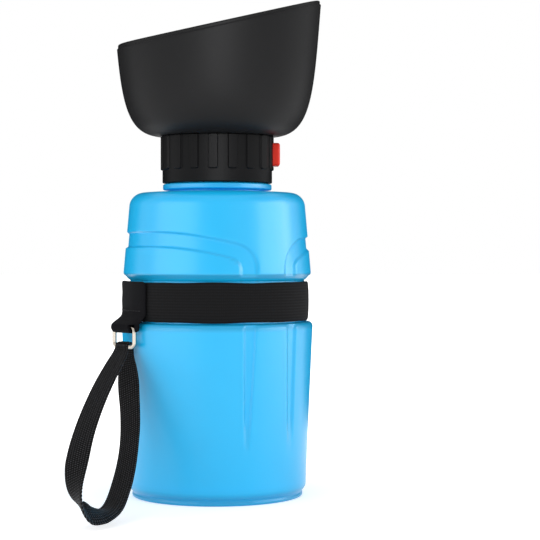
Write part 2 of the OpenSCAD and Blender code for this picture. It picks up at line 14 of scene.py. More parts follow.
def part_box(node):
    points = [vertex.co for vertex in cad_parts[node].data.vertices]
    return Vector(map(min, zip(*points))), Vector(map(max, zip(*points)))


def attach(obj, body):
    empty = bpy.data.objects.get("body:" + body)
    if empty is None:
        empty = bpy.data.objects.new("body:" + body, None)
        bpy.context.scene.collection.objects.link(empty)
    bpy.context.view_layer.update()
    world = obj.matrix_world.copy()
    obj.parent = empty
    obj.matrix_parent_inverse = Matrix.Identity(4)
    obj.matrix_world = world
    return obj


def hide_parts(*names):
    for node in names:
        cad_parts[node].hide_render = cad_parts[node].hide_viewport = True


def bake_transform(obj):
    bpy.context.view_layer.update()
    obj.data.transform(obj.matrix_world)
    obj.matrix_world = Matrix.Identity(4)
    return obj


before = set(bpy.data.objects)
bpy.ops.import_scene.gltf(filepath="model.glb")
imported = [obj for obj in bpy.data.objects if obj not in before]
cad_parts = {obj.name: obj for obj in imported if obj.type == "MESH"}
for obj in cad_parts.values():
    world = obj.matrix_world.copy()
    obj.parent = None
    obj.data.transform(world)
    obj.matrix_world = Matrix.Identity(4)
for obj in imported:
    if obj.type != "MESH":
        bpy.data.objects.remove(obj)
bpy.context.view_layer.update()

bl_info = {
    "name": "Dog Travel Bottle",
    "version": (1, 0, 0),
    "blender": (4, 5, 0),
    "location": "3D View > Sidebar > Bottle",
    "description": "Builds the pieces, finishes and stage of a travel water bottle for dogs",
    "category": "Add Mesh",
}

MM = 0.001
IMAGE_PX = 540


def top_of(node):
    """Height of a node's top, in millimetres."""
    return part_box(node)[1].z / MM


def bottom_of(node):
    """Height of a node's underside, in millimetres."""
    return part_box(node)[0].z / MM


# Heights and reaches that the frame gives, in millimetres
LIP_Z = top_of("bottle")
SKIRT_DROP = 0.5
COLLAR_Z = bottom_of("screw_collar") - SKIRT_DROP
FLOOR_Z = top_of("screw_collar")
SPOOL_Z = (top_of("valve_spool") + bottom_of("valve_spool")) / 2
BAND_LOW_Z = bottom_of("elastic_band")
BAND_TOP_Z = top_of("elastic_band")
BAND_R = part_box("elastic_band")[1].x / MM
BUTTON_BACK_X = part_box("flow_button")[0].x / MM
BUTTON_FACE_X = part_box("flow_button")[1].x / MM

# The ring hangs in the tab's hem: the hem's middle, and the way that its wire runs
HEM_TURN = math.radians(140)
HEM = np.array([-37.6, -22.3, 71.0])
ALONG_WIRE = np.array([math.cos(HEM_TURN), math.sin(HEM_TURN), 0.0])
OUTWARDS = np.array([-math.sin(HEM_TURN), math.cos(HEM_TURN), 0.0])
UP = np.array([0.0, 0.0, 1.0])
TO_BUTTON = np.array([1.0, 0.0, 0.0])
AWAY = np.array([0.0, 1.0, 0.0])

# Heights between which the neck carries its thread, and the bore of the collar its own
THREAD_LOW_Z = LIP_Z - 6
THREAD_TOP_Z = LIP_Z - 0.6


def linear(code):
    """Linear red, green and blue of an sRGB colour written as six hex digits."""
    parts = [int(code[i:i + 2], 16) / 255 for i in (0, 2, 4)]
    return tuple(c / 12.92 if c <= 0.04045 else ((c + 0.055) / 1.055) ** 2.4 for c in parts)


def length(label, note, size_mm):
    """A length property with its default given in millimetres."""
    return bpy.props.FloatProperty(
        name=label, description=note, default=size_mm * MM, min=0.0, unit="LENGTH", precision=5)


def colour(label, note, code):
    """A colour property with its default given as sRGB hex."""
    return bpy.props.FloatVectorProperty(
        name=label, description=note, default=linear(code), min=0.0, max=1.0, size=3, subtype="COLOR")


class BottleSizes(bpy.types.PropertyGroup):
    """Sizes of the blow-moulded bottle and its relief."""

    foot_r: length("Foot radius", "Radius of the stand ring", 35.6)
    low_r: length("Lower radius", "Radius just above the bottom corner", 37.0)
    low_top_r: length("Lower top radius", "Radius of the lower body's top edge", 39.9)
    low_top_z: length("Lower top height", "Height of the lower body's top edge", 72.6)
    groove_r: length("Groove radius", "Radius of the waist groove", 36.3)
    up_low_z: length("Upper low height", "Height of the upper body's lower edge", 89.9)
    up_r: length("Upper radius", "Radius of the upper body at its lower edge", 39.2)
    up_top_r: length("Shoulder radius", "Radius of the upper body below its shoulder", 36.7)
    shoulder_z: length("Shoulder height", "Height where the shoulder starts to turn in", 120.1)
    shoulder_r: length("Shoulder bend", "Radius by which the shoulder turns in", 6.0)
    neck_gap: length("Neck gap", "Height of bare neck between shoulder and support ring", 0.9)
    neck_r: length("Neck radius", "Radius of the threaded neck", 19.6)
    bore_r: length("Bore radius", "Radius inside the neck", 17.4)
    ring_r: length("Support ring radius", "Radius of the ring under the collar", 22.7)
    ring_t: length("Support ring thickness", "Thickness of the ring under the collar", 2.5)
    wall: length("Wall", "Wall thickness of the shell", 1.8)
    relief: length("Relief", "Depth of the arch ribbons and flutes", 1.05)
    ribbon_w: length("Ribbon width", "Width of the arch ribbons", 5.3)
    thread_pitch: length("Thread pitch", "Rise of the neck's thread in one turn", 3.0)
    thread_d: length("Thread depth", "Height of the thread's ridge", 0.55)


class CapSizes(bpy.types.PropertyGroup):
    """Sizes of the collar, the button and the scoop."""

    collar_r: length("Collar radius", "Radius of the plain skirt", 22.9)
    rib_out: length("Rib height", "How far a grip rib stands out", 0.75)
    rib_w: length("Rib width", "Width of a grip rib", 3.8)
    skirt_h: length("Skirt height", "Plain height below the ribs", 5.4)
    deck_t: length("Deck thickness", "Thickness of the collar's top", 2.0)
    bore_r: length("Collar bore", "Inner radius of the collar", 20.4)
    deck_hole_r: length("Deck hole", "Radius of the hole in the collar's top", 14.4)
    button_w: length("Button width", "Width of the push button", 10.0)
    button_h: length("Button height", "Height of the push button", 9.6)
    button_edge: length("Button edge", "Radius of the button's front edges", 1.0)
    scoop_t: length("Scoop wall", "Thickness of the rubber scoop", 2.2)
    scoop_h: length("Scoop height", "Height of the rim over the floor, at the axis", 46.8)
    scoop_hole_r: length("Scoop hole", "Radius of the hole in the scoop's floor", 14.3)
    lip_h: length("Lip height", "Height of the thin lip at the rim", 1.6)
    lip_step: length("Lip step", "How far the lip steps in", 0.5)


class StrapSizes(bpy.types.PropertyGroup):
    """Sizes of the band, the tab, the ring and the strap."""

    band_t: length("Band thickness", "Thickness of the elastic band", 1.9)
    tab_t: length("Tab thickness", "Thickness of the sewn tab", 1.3)
    hem_r: length("Hem radius", "Radius of the hem round the ring's wire", 2.3)
    wire_d: length("Wire thickness", "Thickness of the ring's wire", 1.8)
    ring_w: length("Ring width", "Outer width of the ring", 12.8)
    ring_h: length("Ring height", "Outer height of the ring", 9.6)
    ring_bend: length("Ring bend", "Radius of the bends in the ring's wire", 1.8)
    webbing_w: length("Webbing width", "Width of the wrist strap", 11.0)
    webbing_t: length("Webbing thickness", "Thickness of the wrist strap", 1.2)
    rib_pitch: length("Webbing rib pitch", "Distance between the webbing's cross ribs", 1.0)


class FinishColours(bpy.types.PropertyGroup):
    """Colours of the finishes."""

    bottle: colour("Bottle", "Sky-blue polyethylene", "14BFFC")
    scoop: colour("Scoop", "Near-black rubber", "1B1B1C")
    collar: colour("Collar", "Black moulded plastic", "121213")
    button: colour("Button", "Red moulded plastic", "F03424")
    band: colour("Band", "Black woven elastic", "1B1B1C")
    tab: colour("Tab", "Black stretch fabric", "111114")
    webbing: colour("Webbing", "Black nylon webbing", "0E0E0F")
    plating: colour("Plating", "Bright nickel", "BDB5AA")
    floor: colour("Floor", "Pale floor", "FAFAFA")


# Arrays and outlines


def smooth(t):
    """Smooth step: three t squared less two t cubed, with t held between 0 and 1."""
    t = np.clip(t, 0, 1)
    return t * t * (3 - 2 * t)


def ramp(t, rounding=0.35):
    """A straight rise from 0 to 1 whose two ends are rounded.

    It is the mean of t, held between 0 and 1, over a window as wide as the rounding.
    """
    def area(x):
        return np.clip(x, 0, 1) ** 2 / 2 + np.maximum(x - 1, 0)

    return (area(t + rounding / 2) - area(t - rounding / 2)) / rounding


def unit(v):
    """Vectors of length one, along the last axis."""
    return v / np.linalg.norm(v, axis=-1, keepdims=True)


def arc(cx, cz, r, start, end, count):
    """Points on a circle of radius r round (cx, cz), from one angle to another, in degrees."""
    a = np.radians(np.linspace(start, end, count))
    return np.column_stack((cx + r * np.cos(a), cz + r * np.sin(a)))


def fill(points, step):
    """Adds evenly spaced points on every stretch of an outline that is longer than its step."""
    points = np.asarray(points, float)
    gaps = np.linalg.norm(np.diff(points, axis=0), axis=1)
    counts = np.maximum(1, np.ceil(gaps / step)).astype(int)
    runs = [a + (b - a) * (np.arange(n) / n)[:, None] for a, b, n in zip(points, points[1:], counts)]
    return np.vstack((*runs, points[-1:]))


def soften(points, reach, least_turn=14):
    """Rounds the sharp corners of an outline.

    Each corner gives way to a parabola that leaves its two sides at the reach, or at four tenths of
    a shorter side: (1 - t) squared of the first point, 2 t (1 - t) of the corner, t squared of the last.
    """
    points = np.asarray(points, float)
    back = points[:-2] - points[1:-1]
    ahead = points[2:] - points[1:-1]
    back_l = np.linalg.norm(back, axis=1, keepdims=True)
    ahead_l = np.linalg.norm(ahead, axis=1, keepdims=True)
    turn = np.degrees(np.arccos(np.clip(-(back * ahead).sum(1) / (back_l * ahead_l)[:, 0], -1, 1)))
    first = points[1:-1] + back / back_l * np.minimum(reach, 0.4 * back_l)
    last = points[1:-1] + ahead / ahead_l * np.minimum(reach, 0.4 * ahead_l)
    t = np.array([0, 0.33, 0.67, 1])[:, None]
    rounded = [
        (1 - t) ** 2 * a + 2 * t * (1 - t) * p + t * t * b if corner > least_turn else p[None]
        for a, p, b, corner in zip(first, points[1:-1], last, turn)]
    return np.vstack((points[:1], *rounded, points[-1:]))


def girth(points):
    """Distance round a closed outline, from 0 at its first point on, and back to that point."""
    steps = np.linalg.norm(np.diff(points, axis=0, append=points[:1]), axis=1)
    return np.append(0, np.cumsum(steps))


def superellipse(count, power_x, power_y):
    """Closed outline with |x| to one power plus |y| to another equal to 1, from (-1, 0) over +y."""
    a = np.linspace(0, 2 * np.pi, count, endpoint=False)
    x = -np.sign(np.cos(a)) * np.abs(np.cos(a)) ** (2 / power_x)
    y = np.sign(np.sin(a)) * np.abs(np.sin(a)) ** (2 / power_y)
    return x, y


def rounded_rectangle(half_w, half_h, corner, per_corner=7):
    """Closed outline of a rectangle whose corners are quarter circles."""
    corners = [(1, 1, 0), (-1, 1, 90), (-1, -1, 180), (1, -1, 270)]
    return np.vstack([
        arc(sx * (half_w - corner), sy * (half_h - corner), corner, a, a + 90, per_corner)
        for sx, sy, a in corners])


def millimetres(group):
    """The lengths of a property group, in millimetres, under their own names."""
    names = group.bl_rna.properties.keys()
    sizes = {n: getattr(group, n) / MM for n in names if isinstance(getattr(group, n), float)}
    return type("Sizes", (), sizes)


# Meshes


def mesh_from(name, points, faces, face_uv=None):
    """A smooth-shaded object from points in millimetres and a list of face arrays of like size."""
    mesh = bpy.data.meshes.new(name)
    loops = np.concatenate([f.ravel() for f in faces]).astype(np.int32)
    totals = np.concatenate([np.full(len(f), f.shape[1]) for f in faces])
    starts = np.concatenate(([0], np.cumsum(totals)[:-1])).astype(np.int32)
    mesh.vertices.add(len(points))
    mesh.vertices.foreach_set("co", (np.asarray(points) * MM).astype(np.float32).ravel())
    mesh.loops.add(len(loops))
    mesh.loops.foreach_set("vertex_index", loops)
    mesh.polygons.add(len(totals))
    mesh.polygons.foreach_set("loop_start", starts)
    mesh.polygons.foreach_set("use_smooth", np.ones(len(totals), bool))
    if face_uv is not None:
        layer = mesh.uv_layers.new(name="UVMap")
        uv = np.concatenate([f.reshape(-1, 2) for f in face_uv]) * MM
        layer.data.foreach_set("uv", uv.astype(np.float32).ravel())
    mesh.update(calc_edges=True)
    if mesh.validate():
        raise RuntimeError(f"{name} came out with faces that don't hold together")
    piece = bpy.data.objects.new(name, mesh)
    bpy.context.scene.collection.objects.link(piece)
    return piece


def grid_piece(name, points, close_rows=False, close_cols=False, poles=(None, None), u=None, v=None):
    """An object from a grid of points: rows by columns by three, in millimetres.

    Normals point along the column direction crossed with the row direction. A pole is one point
    that closes the grid before its first or after its last row. u and v give the distance across
    the columns and along the rows, with one entry more than the grid has.
    """
    rows, cols = points.shape[:2]
    i, j = np.meshgrid(
        np.arange(rows if close_rows else rows - 1),
        np.arange(cols if close_cols else cols - 1), indexing="ij")
    i = np.stack((i, i, i + 1, i + 1), -1)
    j = np.stack((j, j + 1, j + 1, j), -1)
    u = np.arange(cols + 1, dtype=float) if u is None else u
    v = np.arange(rows + 1, dtype=float) if v is None else v
    flat = points.reshape(-1, 3)
    faces = [((i % rows) * cols + j % cols).reshape(-1, 4)]
    uv = [np.stack((u[j], v[i]), -1).reshape(-1, 4, 2)]
    ring = np.arange(cols)
    after = (ring + 1) % cols
    fan_u = np.column_stack((u[1:cols + 1], u[:cols], u[:cols]))
    for apex, row in ((poles[0], 0), (poles[1], rows - 1)):
        if apex is None:
            continue
        tip = np.full(cols, len(flat))
        flat = np.vstack((flat, apex))
        edge = row * cols
        fan = (edge + after, edge + ring, tip) if row == 0 else (edge + ring, edge + after, tip)
        faces.append(np.column_stack(fan))
        uv.append(np.stack((fan_u, np.full((cols, 3), v[row])), -1))
    return mesh_from(name, flat, faces, uv)


def turned(radius, height, angles):
    """Points of a turned form: radius by height by angle, in rows and columns."""
    radius, height, angles = np.broadcast_arrays(radius, height, angles)
    return np.stack((radius * np.cos(angles), radius * np.sin(angles), height), -1)


def sweep(path, across, upwards, section_x, section_y):
    """A section carried along a path: path point, plus x along one direction, plus y along another."""
    return (path[:, None] + across[:, None] * section_x[..., None]
            + upwards[:, None] * section_y[..., None])


def prism(name, outline, start, end, axis_x, axis_y, axis_z):
    """A closed block: an outline in two directions, carried along a third one from start to end."""
    ends = np.array([start, end])[:, None, None] * axis_z
    points = outline[None, :, :1] * axis_x + outline[None, :, 1:] * axis_y + ends
    return grid_piece(name, points, close_cols=True, poles=tuple(points.mean(1)))


def cut(piece, *cutters):
    """Takes cutters away from a piece, and keeps its rounded faces smooth and its cut edges crisp."""
    for cutter in cutters:
        knife = piece.modifiers.new("cut", "BOOLEAN")
        knife.operation = "DIFFERENCE"
        knife.solver = "EXACT"
        knife.object = cutter
    seen = bpy.context.evaluated_depsgraph_get()
    mesh = bpy.data.meshes.new_from_object(piece.evaluated_get(seen))
    piece.modifiers.clear()
    old, piece.data = piece.data, mesh
    bpy.data.meshes.remove(old)
    mesh.name = piece.name
    mesh.materials.clear()
    for cutter in cutters:
        bpy.data.objects.remove(cutter)
    mesh.set_sharp_from_angle(angle=math.radians(38))


def dress(piece, body, finish, slot, *replaced):
    """Gives a new piece its finish and its body, and hides the nodes it stands for. The slot is not used."""
    piece.data.materials.append(finish)
    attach(piece, body)
    if replaced:
        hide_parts(*replaced)
    return piece


# Finishes


def add_node(tree, kind, inputs=None, **settings):
    """Adds a node, sets its settings, and fills its inputs with values or other nodes' outputs."""
    node = tree.nodes.new(kind)
    for key, value in settings.items():
        setattr(node, key, value)
    for key, value in (inputs or {}).items():
        if isinstance(value, bpy.types.NodeSocket):
            tree.links.new(value, node.inputs[key])
        else:
            node.inputs[key].default_value = value
    return node


def new_finish(name, ior=1.5, metallic=0.0, **sockets):
    """A material with one shader; returns the material, its node tree and the shader."""
    finish = bpy.data.materials.new(name)
    finish.use_nodes = True
    tree = finish.node_tree
    shader = tree.nodes["Principled BSDF"]
    shader.inputs["IOR"].default_value = ior
    shader.inputs["Metallic"].default_value = metallic
    for key, value in sockets.items():
        shader.inputs[key.replace("_", " ")].default_value = value
    return finish, tree, shader


def tint(tree, shader, factor, dark, light):
    """Colours the shader between two colours by a factor from 0 to 1, and returns that colour."""
    mix = add_node(
        tree, "ShaderNodeMix", {6: (*dark, 1), 7: (*light, 1), 0: factor}, data_type="RGBA")
    tree.links.new(mix.outputs[2], shader.inputs["Base Color"])
    return mix.outputs[2]


def scaled(base, share):
    """A colour times a share, held below full white."""
    return tuple(min(0.98, c * share) for c in base)


def spread_roughness(tree, shader, factor, low, high):
    """Lets the shader's roughness run between two values by a factor from 0 to 1."""
    span = add_node(tree, "ShaderNodeMapRange", {"Value": factor, "To Min": low, "To Max": high})
    tree.links.new(span.outputs["Result"], shader.inputs["Roughness"])


def raise_surface(tree, shader, height, depth_mm):
    """Bumps the shader's surface by a height from 0 to 1 that stands for a depth in millimetres."""
    bump = add_node(tree, "ShaderNodeBump", {"Height": height, "Distance": depth_mm * MM})
    tree.links.new(bump.outputs["Normal"], shader.inputs["Normal"])


def grain(tree, size_mm, detail=3.0, coordinates="Object"):
    """Noise with grains of a real size; gives a factor from 0 to 1."""
    place = add_node(tree, "ShaderNodeTexCoord")
    noise = add_node(
        tree, "ShaderNodeTexNoise",
        {"Vector": place.outputs[coordinates], "Scale": 1 / (size_mm * MM), "Detail": detail})
    return noise.outputs["Fac"]


def ribs(tree, pitch_mm, direction):
    """Even ribs at a real pitch along the piece's own UV map; gives a factor from 0 to 1."""
    place = add_node(tree, "ShaderNodeTexCoord")
    wave = add_node(
        tree, "ShaderNodeTexWave",
        {"Vector": place.outputs["UV"], "Scale": math.pi / (10 * pitch_mm * MM), "Distortion": 0.0},
        wave_type="BANDS", bands_direction=direction, wave_profile="SIN")
    return wave.outputs["Fac"]


def crossed(tree, factor, *others):
    """Patterns that show only where all of them are high: the product of their factors."""
    for other in others:
        both = add_node(tree, "ShaderNodeMath", {0: factor, 1: other}, operation="MULTIPLY")
        factor = both.outputs[0]
    return factor


def moulded_polyethylene(colours):
    """Blow-moulded polyethylene: glossy, with the faint waviness of a skin that cooled on the mould.

    Painted shade darkens the colour on the relief's slopes, at the folds by the waist and under the band, and
    at the bottom corner, by a mark stored on the mesh.
    """
    finish, tree, shader = new_finish("polyethylene_blow_moulded", ior=1.51)
    base = tuple(colours.bottle)
    even = tint(tree, shader, grain(tree, 9.0), scaled(base, 0.97), scaled(base, 1.02))
    # Painted shade: the mark on the mesh darkens the blue on the relief's slopes, the folds and the bottom
    # corner
    crease = add_node(tree, "ShaderNodeAttribute", attribute_name="crease").outputs["Fac"]
    with_painted_shade = add_node(
        tree, "ShaderNodeMix", {6: even, 7: (*scaled(base, 0.66), 1), 0: crease}, data_type="RGBA")
    tree.links.new(with_painted_shade.outputs[2], shader.inputs["Base Color"])
    spread_roughness(tree, shader, grain(tree, 3.0), 0.26, 0.34)
    raise_surface(tree, shader, grain(tree, 6.0, 1.0), 0.015)
    return finish


# Finishes that follow three grains, each given by its size in mm and two more values. The first
# runs the colour from its darkest to its lightest share, the second runs the roughness from its
# lowest to its highest, and the third has its detail and the depth in mm by which it raises the
# surface. The shader's own settings come last.
GRAINED = {
    # Thermoplastic rubber from a matt mould: a broad soft sheen and a fine skin-like grain
    "thermoplastic_rubber_moulded": (
        (14.0, 0.9, 1.15), (0.8, 0.4, 0.5), (0.45, 2.0, 0.01),
        {"ior": 1.48, "Specular_IOR_Level": 0.12}),
    # Injection-moulded polypropylene from a spark-eroded mould: satin, evenly stippled
    "polypropylene_moulded": (
        (5.0, 0.9, 1.1), (0.6, 0.38, 0.48), (0.35, 2.0, 0.012),
        {"ior": 1.49, "Specular_IOR_Level": 0.09}),
    # Moulded ABS: a clear even red with a soft gloss and slightly duller patches from thumbs
    "abs_moulded_red": (
        (4.0, 0.95, 1.04), (1.6, 0.28, 0.42), (0.5, 2.0, 0.008),
        {"ior": 1.54, "Specular_IOR_Level": 0.15}),
    # Bonded polyester thread: two plies with a slight wax shine
    "polyester_thread_bonded": (
        (0.3, 0.7, 1.4), (0.25, 0.4, 0.6), (0.2, 1.0, 0.02),
        {"ior": 1.5, "Specular_IOR_Level": 0.35}),
    # Bright nickel over bent steel wire: a sharp mirror with faint draw marks
    "nickel_plated_wire": ((1.5, 0.9, 1.0), (0.7, 0.07, 0.17), (0.8, 1.0, 0.006), {"metallic": 1.0}),
    # Drawn spring steel: bright, with fine marks of the drawing die
    "spring_steel_drawn": ((0.6, 0.85, 1.0), (0.3, 0.18, 0.3), (0.3, 1.0, 0.005), {"metallic": 1.0}),
    # Moulded silicone: milky, a little see-through at its edges, with a soft gloss
    "silicone_moulded": (
        (2.0, 0.95, 1.0), (0.7, 0.3, 0.45), (0.6, 1.0, 0.01),
        {"ior": 1.41, "Subsurface_Weight": 0.2, "Subsurface_Scale": 0.002}),
    # Turned acetal: waxy white, with faint marks of the lathe tool
    "acetal_turned": ((2.0, 0.95, 1.0), (0.5, 0.3, 0.42), (0.4, 1.0, 0.008), {"ior": 1.48}),
    # Moulded nitrile: dull black with a trace of grease sheen
    "nitrile_moulded": (
        (1.0, 0.9, 1.15), (0.4, 0.42, 0.58), (0.3, 1.0, 0.006),
        {"ior": 1.52, "Specular_IOR_Level": 0.3}),
}


def grained(kind, base, share=1.0, use=""):
    """A finish of the table above, on a share of a base colour; its use is added to its name."""
    shades, dullness, surface, settings = GRAINED[kind]
    finish, tree, shader = new_finish(kind + use, **settings)
    base = scaled(tuple(base), share)
    tint(tree, shader, grain(tree, shades[0]), scaled(base, shades[1]), scaled(base, shades[2]))
    spread_roughness(tree, shader, grain(tree, dullness[0]), *dullness[1:])
    raise_surface(tree, shader, grain(tree, *surface[:2]), surface[2])
    return finish


def woven_elastic(colours):
    """Woven elastic: rows of covered rubber cords along the band, crossed by fine weft yarns.

    Real weft is about 0.4 mm apart; it is drawn at 0.75 mm so that it shows.
    """
    finish, tree, shader = new_finish(
        "elastic_woven", ior=1.46, Sheen_Weight=0.02, Sheen_Roughness=0.6, Specular_IOR_Level=0.05)
    base = tuple(colours.band)
    weave = crossed(tree, ribs(tree, 1.15, "Y"), ribs(tree, 0.75, "X"))
    tint(tree, shader, weave, scaled(base, 0.8), scaled(base, 1.6))
    spread_roughness(tree, shader, grain(tree, 0.5, coordinates="UV"), 0.62, 0.8)
    raise_surface(tree, shader, weave, 0.08)
    return finish


def stretch_fabric(colours):
    """Knitted stretch fabric: a close, smooth face with a faint diagonal of tiny loops.

    Real loops are about 0.3 mm wide; they are drawn at 0.7 mm so that they show.
    """
    finish, tree, shader = new_finish(
        "polyester_knit", ior=1.46, Sheen_Weight=0.02, Sheen_Roughness=0.55, Specular_IOR_Level=0.05)
    base = tuple(colours.tab)
    loops = crossed(tree, ribs(tree, 0.7, "DIAGONAL"), ribs(tree, 0.7, "X"))
    tint(tree, shader, loops, scaled(base, 0.75), scaled(base, 1.5))
    spread_roughness(tree, shader, grain(tree, 0.6), 0.6, 0.75)
    raise_surface(tree, shader, loops, 0.04)
    return finish


def nylon_webbing(colours):
    """Woven nylon webbing with painted glints: yarns lightened in the colour one by one along the raised
    cross ribs, where they would catch the light.

    Real yarns are about half a millimetre apart; they are drawn at 1 mm so that they show.
    """
    finish, tree, shader = new_finish(
        "nylon_webbing_woven", ior=1.53, Sheen_Weight=0.02, Sheen_Roughness=0.4,
        Specular_IOR_Level=0.06)
    base = tuple(colours.webbing)
    yarns = crossed(tree, ribs(tree, 1.0, "Y"), ribs(tree, 1.15, "X"))
    # Painted glints: single yarns along the ribs are lightened in the base colour
    painted_glints = crossed(tree, yarns, yarns, grain(tree, 1.2, coordinates="UV"))
    tint(tree, shader, painted_glints, scaled(base, 0.4), scaled(base, 34.0))
    spread_roughness(tree, shader, grain(tree, 0.4, coordinates="UV"), 0.45, 0.62)
    raise_surface(tree, shader, ribs(tree, 1.0, "Y"), 0.12)
    return finish


# Camera

CAMERA_DISTANCE_MM = 700.0
EYE_Z_MM = 102.3
FOCAL_PX = 1671.0
AXIS_PX = 217.35
HORIZON_PX = 250.0
SENSOR_MM = 36.0


class BOTTLE_OT_camera(bpy.types.Operator):
    """Set the camera where the product shot was taken from"""

    bl_idname = "dog_bottle.camera"
    bl_label = "Camera"

    def execute(self, context):
        data = bpy.data.cameras.new("camera")
        data.sensor_width = SENSOR_MM
        data.lens = FOCAL_PX / IMAGE_PX * SENSOR_MM
        camera = bpy.data.objects.new("camera", data)
        context.scene.collection.objects.link(camera)
        turn = -math.atan((IMAGE_PX / 2 - AXIS_PX) / FOCAL_PX)
        dip = -math.atan((IMAGE_PX / 2 - HORIZON_PX) / FOCAL_PX)
        camera.location = Vector((0, -CAMERA_DISTANCE_MM, EYE_Z_MM)) * MM
        camera.rotation_euler = (math.pi / 2 + dip, 0, turn)
        context.scene.camera = camera
        return {"FINISHED"}


# Wrist strap

# Middle line of the webbing in millimetres, as in the part's source: from the front of the ring's
# lower wire, down to the floor and back up to its rear side
STRAP_ROUTE = (
    (-38.6, -23.5, 63.2), (-39.2, -26.4, 60.8), (-41.0, -34.6, 57.0), (-43.8, -46.2, 51.2),
    (-46.4, -57.2, 44.9), (-48.7, -67.7, 38.2), (-50.5, -77.4, 31.2), (-51.6, -85.6, 23.8),
    (-51.6, -91.0, 16.6), (-50.0, -93.0, 10.4), (-47.2, -91.4, 5.0), (-43.9, -86.2, 2.5),
    (-40.4, -77.5, 4.2), (-37.5, -66.6, 9.6), (-35.7, -56.0, 16.8), (-34.7, -47.5, 24.2),
    (-34.4, -40.6, 31.2), (-34.7, -35.3, 38.2), (-35.3, -31.0, 45.0), (-36.0, -27.0, 51.6),
    (-36.6, -23.4, 57.8), (-36.6, -21.1, 63.2),
)
# The way that its width runs in the loop, before it turns
WIDTH_IN_LOOP = np.array([-0.866, 0.386, -0.319])
STEPS_PER_SPAN = 40
# Each run says over which spans of the route something rises and falls: the start, the length of
# the rise, the end, and the length of the fall. The webbing turns on its edge as it comes round the
# bottom of the loop, and a little the other way after it.
TURN_DEG = 70.0
TURN_RUN = (6.6, 3.6, 13.0, 3.0)
BACK_TURN_DEG = -12.0
BACK_RUN = (12.5, 3.0, 20.0, 3.0)
# Standing on its edge, its middle lies this much higher there
LIFT_MM = 3.0
LIFT_RUN = (9.1, 1.7, 12.8, 1.8)
# Spans over which it leaves the ring's direction, its gap to the wire, and points over the wire
FREE_SPANS = 3
WIRE_GAP_MM = 0.1
FOLD_POINTS = 24
# The folded webbing is narrower than the wire's straight by this much
FOLD_PLAY_MM = 0.2
# Points round the webbing, and the powers that flatten its section
WEBBING_SECTION = (72, 5, 1.6)
WARP_COLUMNS = 8
WEAVE_MM = 0.09


def through(points, per_span):
    """Catmull-Rom curve through points: each span blends its four nearest points by cubics."""
    p = np.asarray(points, float)
    p = np.vstack((p[:1], p, p[-1:]))
    t = np.linspace(0, 1, per_span, endpoint=False)[:, None]
    spans = [
        0.5 * (2 * b + (c - a) * t + (2 * a - 5 * b + 4 * c - d) * t * t
               + (3 * b - a - 3 * c + d) * t ** 3)
        for a, b, c, d in zip(p, p[1:], p[2:], p[3:])]
    return np.vstack((*spans, p[-1:]))


def bump(spans, start, rise, end, fall):
    """0, a smooth rise to 1 from the start, and a smooth fall back to 0 that ends at the end."""
    return smooth((spans - start) / rise) * smooth((end - spans) / fall)


def strap_path(size):
    """Middle line of the loop, how far each point has left the ring, from 0 to 1, and its turn.

    The loop goes half a turn over the ring's lower wire, from its rear to its front, and then
    along the route.
    """
    free_run = through(STRAP_ROUTE, STEPS_PER_SPAN)
    spans = np.arange(len(free_run)) / STEPS_PER_SPAN
    free_run = free_run + UP * LIFT_MM * bump(spans, *LIFT_RUN)[:, None]
    turn = np.radians(TURN_DEG * bump(spans, *TURN_RUN) + BACK_TURN_DEG * bump(spans, *BACK_RUN))
    free = smooth(np.minimum(spans, spans[-1] - spans) / FREE_SPANS)
    lower_wire = HEM - UP * (size.ring_h - size.wire_d)
    r = size.wire_d / 2 + WIRE_GAP_MM + size.webbing_t / 2
    a = np.radians(np.linspace(180, 0, FOLD_POINTS))[:, None]
    fold = lower_wire + OUTWARDS * r * np.cos(a) + UP * r * np.sin(a)
    skip = STEPS_PER_SPAN // 4
    path = np.vstack((fold, free_run[skip:-skip]))
    start = np.zeros(len(fold))
    return path, np.concatenate((start, free[skip:-skip])), np.concatenate((start, turn[skip:-skip]))


def weave_height(run, across, pitch):
    """Height of the webbing's face: a cosine along each warp column, half a pitch on from the next.

    It fades to nothing between the columns and at the selvedges.
    """
    column = across * WARP_COLUMNS
    phase = 2 * np.pi * (run / pitch + 0.5 * (np.floor(column) % 2))
    return WEAVE_MM * np.cos(phase) * np.abs(np.sin(np.pi * column)) ** 0.6


def capsules(name, middles, along, radius, half_length, sides=6):
    """Small capsules of five rings each, at given middles and in given directions."""
    around = np.linspace(0, 2 * np.pi, sides, endpoint=False)[:, None]
    ring_at = np.array([-1, -0.85, 0, 0.85, 1])[:, None, None] * half_length
    ring_r = np.array([0.25, 0.85, 1, 0.85, 0.25])[:, None, None] * radius
    side = unit(np.cross(along, UP + 0.01 * OUTWARDS))[:, None, None]
    middles, along = middles[:, None, None], along[:, None, None]
    circle = side * np.cos(around) + np.cross(side, along) * np.sin(around)
    points = middles + along * ring_at + circle * ring_r
    rings = points.shape[1]
    i, j = np.meshgrid(np.arange(rings - 1) * sides, np.arange(sides), indexing="ij")
    after = (j + 1) % sides
    quad = np.stack((i + j, i + sides + j, i + sides + after, i + after), -1)
    each = np.arange(len(points))[:, None, None] * rings * sides
    quads = (quad.reshape(1, -1, 4) + each).reshape(-1, 4)
    caps = np.array([np.arange(sides), rings * sides - 1 - np.arange(sides)])
    return mesh_from(name, points.reshape(-1, 3), [quads, (caps + each).reshape(-1, sides)])


